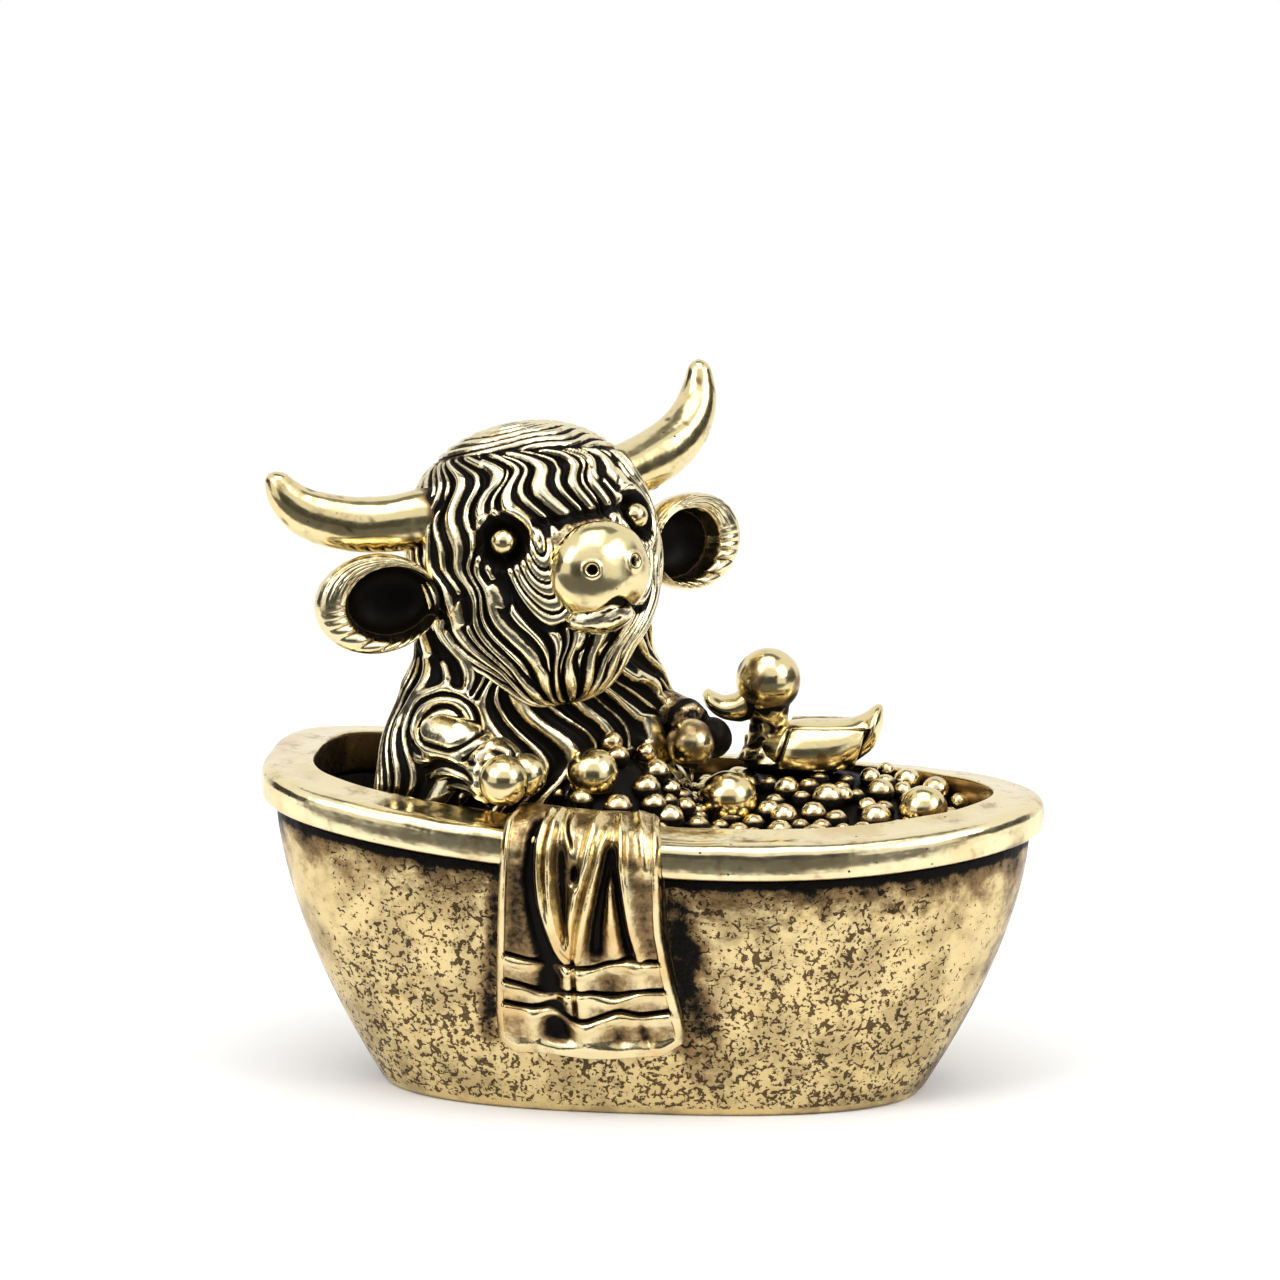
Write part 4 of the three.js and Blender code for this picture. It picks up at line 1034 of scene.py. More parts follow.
@dataclass
class Towel:
    """The towel, cast in brass, that hangs over the front of the rim."""

    tub: Tub
    middle: float = -2.3
    top_width: float = 7.6
    left_half: tuple[float, ...] = (3.45, 3.85, 4.10, 4.30, 4.40, 4.40)
    right_half: tuple[float, ...] = (3.45, 3.75, 3.80, 4.15, 4.75, 4.75)
    hem_lift: float = 3.4
    thickness: float = 0.5
    gap: float = 0.15
    tuck: float = 0.7
    border: float = 0.09
    border_height: float = 0.24
    groove_width: float = 0.0085
    groove_depth: float = 0.40
    puff_width: float = 0.02
    puff_height: float = 0.15
    slices: int = 181
    steps: int = 270
    rounding: int = 15

    def face(self, across: Array, down: Array) -> tuple[Array, Array]:
        """The cloth's face.

        Args:
            across: place across, from -1 to 1.
            down: place down, from below 0 in the tuck to 1 at the hem.

        Returns:
            How far the face stands out, and its relief from furrow to ridge.
        """
        edge = np.maximum(np.abs(across) - (1.0 - self.border), down - (1.0 - 0.55 * self.border))
        inner = smooth(0.02, -0.03, edge)
        hang = sum(fold.relief(across, down) for fold in FOLDS) * mix(0.25, 1.0, inner)
        border = self.border_height * smooth(-0.03, 0.01, edge) * smooth(-0.1, 0.1, down)
        grooves, puffs = np.zeros_like(across), np.zeros_like(across)
        for groove in GROOVES:
            places = np.array(groove)
            off = down - eased(across, places[:, 0], places[:, 1], 0.12)
            grooves += mound(off, self.groove_width) * smooth(0.95, 0.86, np.abs(across))
            swell = 0.6 + 0.4 * np.sin(9.0 * across + 14.0 * down)
            puffs += mound(off - 0.03, self.puff_width) * swell * inner
        out = hang + border - self.groove_depth * grooves + self.puff_height * puffs
        relief = 0.42 + 1.2 * hang + 1.5 * border - 0.8 * grooves + 0.8 * puffs
        return np.maximum(out, -self.thickness + 0.06), np.clip(relief, 0.0, 1.0)

    def base_line(self, x: Array) -> Array:
        """The line that the cloth's back follows at each slice, as y and z over a common set of stations.

        It climbs the inside of the rim, lies over its crown, hangs clear of its lip and closes on the
        wall by the first groove.

        Args:
            x: the slices' places along the tub.

        Returns:
            Slices by stations by 2.
        """
        tub = self.tub
        top = tub.top_edge(x) + tub.seam
        crown = tub.rim_height - tub.crown_drop
        over = (
            (tub.rim_band + self.gap, tub.rim_height - self.tuck),
            (tub.rim_band + self.gap, tub.rim_height - 0.1),
            (tub.rim_band - 0.05, tub.rim_height + self.gap),
            (1.7, crown + self.gap + 0.14),
            (tub.rim_shoulder, crown + self.gap + 0.02),
            (0.45, crown - 0.12 + self.gap),
            (0.02, crown - 0.62),
            (-self.gap, tub.rim_height - tub.rim_shoulder - 0.25),
            (-self.gap, 0.3),
        )
        stations = [np.stack([tub.rim_front(x, inset), top + height], axis=-1) for inset, height in over]
        for share in np.linspace(0.0, 1.0, 14):
            z = mix(tub.height - 0.6, self.hem_lift, share)
            length, width, swell = tub.wall(np.array(z / tub.height))
            clear = (tub.rim_width - tub.width) / 2.0 * smooth(0.62, 0.0, np.array(share))
            y = tub.front(x, length, width, swell) - self.gap - clear
            stations.append(np.stack([y, np.full_like(x, z)], axis=-1))
        return np.stack(stations, axis=1)

    def draped(self, across: Array) -> tuple[Array, Array]:
        """The cloth's back, followed evenly along its length with its corners rounded.

        Args:
            across: the slices' places across.

        Returns:
            Slices by steps by y and z, and how far down each step lies.
        """
        line = self.base_line(self.middle + across * self.top_width / 2.0)
        spans = np.linalg.norm(np.diff(line, axis=1), axis=-1)
        reach = np.concatenate([np.zeros((len(across), 1)), np.cumsum(spans, axis=1)], axis=1)
        station = np.linspace(0.0, 1.0, self.steps)
        even = [
            np.stack([np.interp(station * way[-1], way, points[:, c]) for c in (0, 1)], axis=-1)
            for way, points in zip(reach, line)
        ]
        kernel = np.hanning(self.rounding) / np.hanning(self.rounding).sum()
        margins = ((0, 0), (self.rounding // 2, self.rounding // 2), (0, 0))
        padded = np.pad(np.stack(even), margins, mode="reflect", reflect_type="odd")
        yz = sum(weight * padded[:, k : k + self.steps] for k, weight in enumerate(kernel))
        crown_at = float((reach[:, 3] / reach[:, -1]).mean())
        return yz, (station - crown_at) / (1.0 - crown_at)

    def skin(self) -> Skin:
        """A closed slab: the back follows the tub, and the front stands off it along the back's normal.

        Returns:
            The skin, in the ornament's frame.
        """
        across = np.linspace(-1.0, 1.0, self.slices)
        yz, down = self.draped(across)
        marks = np.array([0.0, 0.1, 0.45, 0.66, 0.88, 1.0])
        sides = (self.left_half, self.right_half)
        halves = [eased(down, marks, np.array(half), 0.1)[None, :] for half in sides]
        x = self.middle + across[:, None] * np.where(across[:, None] < 0.0, *halves)
        tangent = np.gradient(yz, axis=1)
        tangent /= np.linalg.norm(tangent, axis=-1, keepdims=True)
        normal = np.stack([-tangent[..., 1], tangent[..., 0]], axis=-1)
        normal *= np.sign(-normal[:, self.steps // 2, 0]).mean()
        out, relief = self.face(across[:, None] + 0.0 * down, down[None, :] + 0.0 * across[:, None])
        uneven = 0.04 * ripple(np.stack([x, yz[..., 0], yz[..., 1]], axis=-1), 1.6, 9)
        edge_round = np.sqrt(np.clip(1.0 - np.abs(across) ** 14, 0.0, 1.0))[:, None]
        end_round = np.sqrt(np.clip(1.0 - np.clip((down - 0.985) / 0.015, 0.0, 1.0) ** 2, 0.0, 1.0))[None, :]
        thick = (self.thickness + out + uneven) * edge_round * mix(0.25, 1.0, end_round)
        corner = smooth(0.72, 1.0, np.abs(across))[:, None] * smooth(0.82, 1.0, down)[None, :]
        sag = 0.12 * np.sin(5.0 * across + 1.0)[:, None] * smooth(0.85, 1.0, down)[None, :]
        lift = np.stack([0.25 * corner, 0.55 * corner - sag], axis=-1)
        back = np.concatenate([x[..., None], yz + lift], axis=-1)
        front = np.concatenate([x[..., None], yz + lift + normal * thick[..., None]], axis=-1)
        rings = np.concatenate([front, back[:, ::-1]], axis=1)
        values = np.concatenate([relief, np.full_like(relief, 0.1)], axis=1)
        return capped_skin(rings, values)

    def build(self, workshop: Workshop) -> None:
        """Makes the towel."""
        workshop.piece("bath_towel", self.skin(), CLOTH, "towel")


# Foam.


@dataclass
class Foam:
    """The foam plate with its heaps, and the bubbles on it."""

    tub: Tub
    level: float = 13.1
    bottom: float = 10.9
    clearance: float = 0.12
    # Middle x and y, reach and height of each heap.
    heaps: tuple[tuple[float, float, float, float], ...] = ((-1.9, -2.4, 6.0, 3.9), (7.45, 4.1, 8.0, 1.8))
    sink: float = 0.25
    # Middle x, y and z, and radius, of each bubble that is placed by itself.
    bubbles: tuple[tuple[float, float, float, float], ...] = (
        (8.5, 0.3, 14.1, 0.83), (3.8, -1.1, 13.4, 0.87), (-1.1, -5.6, 14.8, 0.73), (10.9, -1.0, 13.5, 0.78),
        (0.4, -2.5, 15.9, 0.68), (0.1, -4.2, 15.5, 0.68), (1.3, -4.8, 14.2, 0.68), (6.5, -1.5, 13.6, 0.68),
        (10.9, 2.1, 14.1, 0.68), (12.0, 4.6, 14.1, 0.68), (13.5, 3.6, 13.95, 0.68), (6.4, 1.0, 14.4, 0.63),
        (7.9, -1.1, 13.7, 0.63), (0.5, -4.7, 14.8, 0.63), (-1.4, -3.3, 16.8, 0.58), (-1.8, -2.6, 17.35, 0.58),
        (-2.9, -5.3, 15.1, 0.58), (1.8, -3.1, 14.3, 0.58), (5.7, -0.8, 13.7, 0.58), (1.0, 3.9, 14.25, 0.53),
        (10.3, 3.4, 14.5, 0.53), (-0.2, -1.9, 16.75, 0.49), (1.1, -2.6, 15.1, 0.49), (11.9, 3.3, 13.9, 0.49),
        (12.2, 5.2, 14.1, 0.49), (9.2, 0.7, 14.2, 0.49), (10.4, 0.2, 13.8, 0.49), (14.7, 3.2, 13.45, 0.49),
        (-4.2, -4.3, 15.1, 0.44), (10.9, 5.6, 14.4, 0.44),
    )
    fill_count: int = 760
    fill_radius: float = 0.80
    fill_from: float = -9.0
    # Middles and radii of the balls that keep small bubbles out of the duck.
    duck_room: tuple[tuple[Place, float], ...] = (((6.4, 4.1, 15.4), 1.9), ((9.0, 4.2, 15.4), 1.6))

    def height_at(self, x: Array, y: Array) -> Array:
        """The plate's level plus the highest heap: each falls from its middle as a squared cosine.

        Args:
            x: places along the tub.
            y: places across it.

        Returns:
            Height above the foot.
        """
        rises = [
            height * np.cos(np.minimum(1.0, np.hypot(x - middle_x, y - middle_y) / reach) * np.pi / 2.0) ** 2
            for middle_x, middle_y, reach, height in self.heaps
        ]
        return self.level + np.max(rises, axis=0)

    def plate_skin(self) -> Skin:
        """The plate: the oval of the well shrunk in rings to its middle, each point at the foam's height.

        Returns:
            The skin, in the ornament's frame.
        """
        angle = round_angles(240)[None, :]
        share = np.linspace(1.0, 0.02, 60)[:, None]
        inset = self.tub.rim_band + self.clearance
        x, y = self.tub.oval(
            (self.tub.rim_length - 2 * inset) * share, (self.tub.rim_width - 2 * inset) * share, 1.0, angle
        )
        top = np.stack([x, y, self.height_at(x, y) - self.sink], axis=-1)
        top[..., 2] += 0.1 * ripple(top, 0.9, 3) * smooth(1.0, 0.97, share)
        bottom = top[:1].copy()
        bottom[..., 2] = self.bottom
        rings = np.concatenate([bottom, top])
        return capped_skin(rings, np.zeros(rings.shape[:2]))

    def bubble_skins(self, keep_clear: list[tuple[Array, float]]) -> list[Skin]:
        """The bubbles that are placed one by one, and smaller ones in a spiral between them.

        Args:
            keep_clear: middles and radii of the balls that the small bubbles leave free.

        Returns:
            One skin for each bubble, with painted shade that darkens it to black near its foot.
        """
        placed = [(np.array([x, y, z]), radius) for x, y, z, radius in self.bubbles]
        rng = np.random.default_rng(4)
        number = np.arange(self.fill_count)
        reach = np.sqrt((number + 0.5) / self.fill_count)
        angle = number * np.pi * (3.0 - np.sqrt(5.0))
        inset = self.tub.rim_band + self.fill_radius + self.clearance
        x, y = self.tub.oval(
            (self.tub.rim_length - 2 * inset) * reach, (self.tub.rim_width - 2 * inset) * reach, 1.0, angle
        )
        radii = self.fill_radius * rng.uniform(0.6, 1.15, self.fill_count)
        taken = placed + keep_clear
        for k in np.flatnonzero(x > self.fill_from):
            centre = np.array([x[k], y[k], self.height_at(x[k], y[k]) - 0.14])
            gaps = [np.linalg.norm(centre - other) - other_radius for other, other_radius in taken]
            free = min(gaps)
            if free > 0.5 * radii[k]:
                taken.append((centre, float(min(radii[k], free + 0.1))))
                placed.append(taken[-1])
        skins = []
        for k, (centre, radius) in enumerate(placed):
            ball = ball_skin(centre, np.full(3, radius), 28, 0.03, k)
            foot = self.height_at(centre[0], centre[1]) - self.sink
            # Painted shade: each bubble darkens from its top down to black near its foot.
            ball.relief = smooth(foot + 0.15, foot + 0.9 * radius + 0.2, ball.points[:, 2])
            skins.append(ball)
        return skins

    def build(self, workshop: Workshop) -> None:
        """Makes the plate with its small bubbles, and the three large ones.

        Args:
            workshop: makes and dresses the pieces.
        """
        large = []
        for k in (1, 2, 3):
            low, high = (np.array(corner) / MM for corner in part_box(f"bubble_{k}"))
            large.append(((low + high) / 2.0, float((high - low).max() / 2.0)))
        keep_clear = large + [(np.array(middle), radius) for middle, radius in self.duck_room]
        heap = join_skins([self.plate_skin(), *self.bubble_skins(keep_clear)])
        workshop.piece("foam_heap", heap, FOAM, "foam")
        for k, (centre, radius) in enumerate(large, start=1):
            ball = ball_skin(centre, np.full(3, radius), 72, 0.012, 40 + k)
            # Painted shade: each large bubble darkens over its lower half.
            ball.relief = smooth(centre[2] - 0.8 * radius, centre[2] - 0.1 * radius, ball.points[:, 2])
            workshop.piece(f"large_bubble_{k}", ball, BRIGHT, f"bubble_{k}")


# Cow.


@dataclass(frozen=True)
class Coat:
    """Long wavy locks of two strands each, laid out by the CAD model's sums. Sways are in lock widths."""

    locks: int
    depth: float = 0.42
    sharpness: float = 0.95
    broad_share: float = 0.64
    wave: float = 2.9
    stretch: float = 0.12
    sway: float = 0.24
    sweep: float = 0.8
    sweep_length: float = 1.5
    lag_turns: float = 2.0
    drift: float = 0.18
    drift_turns: float = 8.0
    drift_wave: float = 11.0

    def number(self, bearing: Array, fall: Array) -> Array:
        """The lock number at each place, which grows by 1 from one main furrow to the next.

        The bearing counts the locks. The sweep at the parting is added to it, and two sines along the
        fall, the swing and the slower drift, are taken off. Their starts lag from lock to lock, so that
        they depend on the number itself and are worked out again from it ten times.

        Args:
            bearing: angle round the body, from the front towards the cow's left.
            fall: length down the coat, in millimetres.

        Returns:
            The number.
        """
        level = np.maximum(0.0, 1.0 - np.maximum(fall, 0.0) / self.sweep_length) ** 2
        start = self.locks * bearing / (2.0 * np.pi) + self.sweep * level
        number = start
        for _ in range(10):
            turns = fall / (self.wave + self.stretch * fall) + self.lag_turns * number / self.locks
            slow = fall / self.drift_wave + self.drift_turns * number / self.locks
            number = start - self.sway * np.sin(2.0 * np.pi * turns) - self.drift * np.sin(2.0 * np.pi * slow)
        return number

    def relief(self, number: Array, crowding: Array) -> Array:
        """A broad ridge and a thin one to a lock, which merge into one where the locks crowd together.

        Args:
            number: the lock number at each place.
            crowding: 0 where a lock has both strands, 1 where it has one.

        Returns:
            Relief from 0 in the furrows to 1 on the ridges.
        """
        share = number - np.floor(number)
        broad = mix(self.broad_share, 1.0, crowding)
        first = np.sin(np.pi * np.clip(share / broad, 0.0, 1.0))
        second = np.sin(np.pi * np.clip((share - broad) / np.maximum(1.0 - broad, 0.01), 0.0, 1.0))
        return np.maximum(first, 0.9 * second * (1.0 - crowding)) ** self.sharpness

    def inset(self, number: Array, relief: Array) -> Array:
        """How far the furrows lie in: fully between locks, and less between the two strands of one."""
        return self.depth * mix(0.6, 1.0, np.cos(np.pi * number) ** 2) * (1.0 - relief)


@dataclass
class Head:
    """The head: a ball of hair under a smooth crown, with eye sockets and the base of the snout."""

    place: Placement
    width: float = 12.7
    depth: float = 11.4
    crown: float = 6.3
    beard: float = 6.8
    beard_reach: float = 2.2
    beard_aside: float = -1.0
    tip: float = 0.9
    squareness: float = 2.2
    crown_tilt: float = 12.0
    coat: Coat = Coat(23)
    parting: float = 47.0
    parting_tilt: float = 9.0
    parting_aside: float = 11.0
    crown_pitch: float = 0.66
    snout_middle: float = 0.3
    snout_radius: float = 2.6
    fan_aside: float = 2.45
    fan_rise: float = 1.35
    fan_narrow: float = 0.42
    fan_reach: float = 4.0
    fan_pitch: float = 0.68
    socket: float = 1.3
    socket_depth: float = 0.95
    eye_radius: float = 0.64
    rows: int = 180
    columns: int = 550

    def base(self) -> tuple[Array, Array, Array]:
        """The smooth ball: a superellipse turned about the vertical and drawn forwards to the beard.

        Returns:
            Points, the bearing round from the front, and the angle down from the crown.
        """
        down = np.arange(1, self.rows + 1)[:, None] / (self.rows + 1) * np.pi
        even = (np.arange(self.columns) / self.columns * 2.0 - 1.0)[None, :] * np.pi
        bearing = even - 0.32 * np.sin(even)
        power = 2.0 / self.squareness
        reach = np.sin(down) ** power
        rise = np.sign(np.cos(down)) * np.abs(np.cos(down)) ** power
        z = np.where(rise < 0.0, self.beard, self.crown) * rise - self.tip * smooth(-0.8, -1.0, rise)
        z = z + 0.0 * bearing
        low = np.maximum(0.0, -rise) ** 2
        x = self.width / 2.0 * reach * np.sin(bearing) + self.beard_aside * low
        y = -self.depth / 2.0 * reach * np.cos(bearing) - self.beard_reach * low
        points = np.stack([x, y, z], axis=-1) @ turn("x", -self.crown_tilt).T
        return points, bearing + 0.0 * z, down + 0.0 * z

    def eye_distance(self, points: Array, eye: Array) -> Array:
        """Distance from the line that runs from the head's middle out through an eye.

        Args:
            points: places in the head's frame.
            eye: the eye's middle.

        Returns:
            The distances, and a long one behind the head's middle.
        """
        line = eye / np.linalg.norm(eye)
        along = points @ line
        aside = np.linalg.norm(points - along[..., None] * line, axis=-1)
        return np.where(along > 0.0, aside, 99.0)

    def hair(self, points: Array, bearing: Array, down: Array, gaps: list[Array]) -> tuple[Array, Array]:
        """Locks below the parting, which part round the eyes, and rings of combed hair over the crown.

        Args:
            points: places on the smooth ball.
            bearing: their bearings from the front.
            down: their angles down from the crown.
            gaps: distances from the two eyes' lines.

        Returns:
            Relief from furrow to ridge, darkened low under the head by painted shade, and how far the furrows
            lie in.
        """
        tilt = self.parting_tilt * np.sin(bearing - np.radians(self.parting_aside))
        edge = np.radians(self.parting + tilt)
        share = (down - edge) / (np.pi - edge)
        fall = share * (np.pi - np.radians(self.parting)) * self.width / 2.0
        bent = bearing.copy()
        for side, gap in zip(("right", "left"), gaps):
            eye = self.eye_centre(side)
            bent -= 0.6 * (bearing - np.arctan2(eye[0], -eye[1])) * mound(gap, 1.8)
        cheek = mound(points[..., 2] - 0.3, 0.9) * smooth(2.6, 0.6, np.abs(bearing))
        bent -= 0.16 * np.tanh(3.0 * bearing) * cheek
        number = self.coat.number(bent, np.maximum(fall, 0.0))
        merging = 0.85 * smooth(0.3, 0.55, ripple(points, 3.0, 14))
        crowding = np.maximum(smooth(0.60, 0.38, np.sin(down)), merging)
        hanging = self.coat.relief(number, crowding)
        combed = ridge(fall / self.crown_pitch + 1.5 * np.sin(bearing) + 0.5 * ripple(points, 3.5, 21), 0.9)
        over = smooth(0.1, -0.25, fall)
        hanging = hanging ** (1.25 + 0.55 * ripple(points, 2.2, 17))
        relief = mix(hanging, combed, over) * (1.0 - 0.4 * mound(fall + 0.1, 0.14))
        # Painted shade: the hair darkens low under the head, unevenly.
        relief = relief * (1.0 - 0.45 * smooth(0.85, 0.97, share) * (0.7 + 0.5 * ripple(points, 1.5, 19)))
        return relief, mix(self.coat.inset(number, relief), 0.3 * (1.0 - relief), over)

    def snout(self, points: Array) -> tuple[Array, Array, Array]:
        """The bare base of the snout: two cheeks of nested arcs with a smooth bridge between them.

        Args:
            points: places on the smooth ball.

        Returns:
            How much of the place belongs to the snout, its relief, and the dark line round it.
        """
        x, y, z = points[..., 0] - self.snout_middle, points[..., 1], points[..., 2]
        front = smooth(-1.5, -3.5, y)
        away = np.hypot((np.abs(x) - self.fan_aside) / self.fan_narrow, z - self.fan_rise)
        arcs = ridge(away / self.fan_pitch + 0.12 * ripple(points, 2.0, 33), 0.6)
        below = smooth(self.fan_rise + 0.4, self.fan_rise, z)
        fan = smooth(self.fan_reach + 0.1, self.fan_reach - 0.1, away) * below
        core = smooth(1.04, 0.96, np.hypot(x, z + 0.4) / self.snout_radius)
        bridge = smooth(0.75, 1.1, z) * smooth(2.4, 1.8, np.abs(x))
        round_fan = mound(away - self.fan_reach - 0.18, 0.16) * below
        over_bridge = mound(z - 2.2, 0.2) * (np.abs(x) < self.snout_radius)
        edge = np.maximum(round_fan, over_bridge)
        return np.maximum(fan, core) * front, mix(arcs, 0.62, bridge), edge * front

    def sculpt(self) -> Skin:
        """The ball with its locks, sockets, lids and snout.

        Returns:
            The skin, in the head's frame.
        """
        points, bearing, down = self.base()
        gaps = [self.eye_distance(points, self.eye_centre(side)) for side in ("right", "left")]
        relief, inset = self.hair(points, bearing, down, gaps)
        bare, arcs, line = self.snout(points)
        relief = mix(relief, arcs, bare) * (1.0 - 0.95 * line)
        out = -mix(inset, 0.22 * (1.0 - arcs), bare) - 0.2 * line
        middle = np.hypot(points[..., 0] - self.snout_middle, points[..., 2] + 0.3)
        out += 0.75 * smooth(-1.5, -3.5, points[..., 1]) * mound(middle, 2.3)
        upper = smooth(-0.6, 0.6, points[..., 2] - self.eye_centre("left")[2])
        for gap in gaps:
            hollow = smooth(self.socket, 0.55 * self.socket, gap)
            lid = mound(gap - self.socket - 0.2, 0.17)
            out = mix(out, -self.socket_depth, hollow) + 0.18 * lid
            relief = mix(relief, 0.0, smooth(self.socket + 0.06, self.socket - 0.08, gap))
            relief = mix(relief, 0.9, 0.6 * lid * upper)
        rings = points + ring_normals(points) * out[..., None]
        poles = [(0.0, 0.0, self.crown), (self.beard_aside, -self.beard_reach, -self.beard - self.tip)]
        top, tip = np.array(poles) @ turn("x", -self.crown_tilt).T
        return capped_skin(rings, relief, top, tip)

    def eye_centre(self, side: str) -> Array:
        """The middle of an eye's CAD ball, in the head's frame."""
        low, high = (np.array(corner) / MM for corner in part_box(f"eye_{side}"))
        return self.place.back((low + high) / 2.0)

    def build(self, workshop: Workshop) -> None:
        """Makes the hair ball and the eyes.

        Args:
            workshop: makes and dresses the pieces.
        """
        workshop.piece("cow_hair", self.sculpt().moved(self.place), COAT, "cow_head")
        for side in ("left", "right"):
            eye = ball_skin(self.eye_centre(side), np.full(3, self.eye_radius), 48)
            workshop.piece(f"cow_eye_{side}", eye.moved(self.place), BRIGHT, f"eye_{side}")


@dataclass
class Muzzle:
    """The polished nose with two nostrils, and the lip under it."""

    place: Placement
    width: float = 5.15
    height: float = 4.85
    depth: float = 3.6
    reach: float = 6.4
    aside: float = 0.28
    rise: float = -0.4
    nostril_spacing: float = 2.3
    nostril_rise: float = 0.45
    nostril: float = 0.26
    nostril_depth: float = 0.5
    mouth: float = -1.95
    notch: float = 0.92
    lip_size: Place = (1.7, 1.4, 0.85)

    def nose_skin(self) -> Skin:
        """An ellipsoid with two drilled nostrils in raised rings, notched in the middle of the mouth.

        Returns:
            The skin, in the head's frame.
        """
        rows, columns = 150, 220
        climb = (np.arange(1, rows + 1) / (rows + 1) - 0.5)[:, None] * np.pi
        angle = round_angles(columns)[None, :]
        x = np.sin(climb) + 0.0 * angle
        z = np.cos(climb) * np.cos(angle)
        y = np.cos(climb) * np.sin(angle)
        unit = np.stack([x, y, z], axis=-1)
        points = unit * np.array([self.width, self.depth, self.height]) / 2.0
        out = np.zeros_like(x)
        relief = np.ones_like(x)
        front = smooth(0.0, -0.6, points[..., 1])
        for side in (-1.0, 1.0):
            aside = points[..., 0] - side * self.nostril_spacing / 2.0
            gap = np.hypot(aside, points[..., 2] - self.nostril_rise)
            hole = self.nostril_depth * smooth(self.nostril, self.nostril - 0.1, gap)
            out += front * (0.07 * mound(gap - self.nostril - 0.1, 0.1) - hole)
            relief = mix(relief, 0.0, front * smooth(self.nostril + 0.02, self.nostril - 0.06, gap))
        mouth = self.mouth + self.notch * mound(points[..., 0], 0.95)
        below = np.clip((mouth - points[..., 2]) / 0.2, 0.0, 1.0)
        out -= 0.35 * below
        relief = mix(relief, 0.0, below)
        out += 0.03 * ripple(points, 1.7, 31)
        # Painted shade: the nose darkens, unevenly, towards its lower half.
        relief = relief * (1.0 - smooth(-0.1, -1.8, points[..., 2]) * (0.56 + 0.2 * ripple(points, 0.9, 32)))
        rings = points + unit * np.minimum(out, 0.05)[..., None]
        middle = np.array([self.aside, -self.reach, self.rise])
        half = np.array([self.width / 2.0, 0.0, 0.0])
        return capped_skin(rings + middle, relief, middle - half, middle + half)

    def lip_skin(self) -> Skin:
        """A flat ball under the mouth, raised in its middle and rough with short strokes.

        Returns:
            The skin, in the head's frame.
        """
        low, high = (np.array(corner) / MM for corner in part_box("cow_lower_lip"))
        centre = self.place.back((low + high) / 2.0)
        skin = ball_skin(centre, np.array(self.lip_size), 110)
        local = skin.points - centre
        skin.points[:, 2] += 0.3 * mound(local[:, 0] - 0.1, 0.7) * smooth(-0.4, 0.2, local[:, 2])
        strokes = ridge(local[:, 2] / 0.34 + 0.5 * np.cos(2.0 * local[:, 0]), 0.6)
        rough = 0.25 * ripple(skin.points, 0.5, 37)
        skin.relief = np.clip(0.45 + 0.45 * strokes + rough, 0.0, 1.0)
        return skin

    def build(self, workshop: Workshop) -> None:
        """Makes the nose and the lip."""
        workshop.piece("cow_nose", self.nose_skin().moved(self.place), BRIGHT, "cow_muzzle")
        workshop.piece("cow_lip", self.lip_skin().moved(self.place), COAT, "cow_lower_lip")


@dataclass(frozen=True)
class Horn:
    """One horn: where its tip lies and how it bends."""

    spread: float
    rise: float
    back: float
    bow: float


@dataclass
class Horns:
    """The two horns, each a tapered tube on a curve."""

    place: Placement
    root_spread: float = 4.0
    root_rise: float = 2.7
    root_radius: float = 1.4
    tip_radius: float = 0.45
    spring: float = 0.62
    left: Horn = Horn(11.2, 7.4, 2.2, 0.4)
    right: Horn = Horn(11.9, 5.7, 2.6, -0.9)

    def skin(self, side: float, horn: Horn) -> Skin:
        """A round tube on a Bezier curve, whose radius falls with the cube of the way to a blunt tip.

        Args:
            side: 1 for the cow's left, -1 for its right.
            horn: how it lies.

        Returns:
            The skin, in the head's frame.
        """
        steps, columns = 120, 64
        share = np.linspace(0.0, 1.0, steps)
        near = mix(self.root_spread, horn.spread, self.spring)
        controls = [
            (side * self.root_spread, 0.0, self.root_rise),
            (side * near, horn.back / 2.0, self.root_rise + horn.bow),
            (side * horn.spread, horn.back, mix(self.root_rise, horn.rise, 0.25)),
            (side * horn.spread, horn.back, horn.rise),
        ]
        middle = bezier(*controls, share=share)
        taper = mix(self.root_radius, self.tip_radius, share**3)
        radius = taper * np.sqrt(np.clip(1.0 - np.clip((share - 0.95) / 0.05, 0.0, 1.0) ** 2, 0.02, 1.0))
        ring = tube_rays(middle, columns, (0.0, 1.0, 0.0))
        rings = middle[:, None, :] + ring * radius[:, None, None]
        rings += ring * (0.04 * ripple(rings, 2.4, 51))[..., None] * smooth(1.0, 0.9, share)[:, None, None]
        relief = smooth(0.02, 0.15, share)[:, None] * (0.62 + 0.33 * ripple(rings, 1.1, 53))
        return capped_skin(rings, relief)

    def build(self, workshop: Workshop) -> None:
        """Makes both horns.

        Args:
            workshop: makes and dresses the pieces.
        """
        for name, side, horn in (("left", 1.0, self.left), ("right", -1.0, self.right)):
            skin = self.skin(side, horn).moved(self.place)
            workshop.piece(f"cow_horn_{name}", skin, BRIGHT, f"horn_{name}")


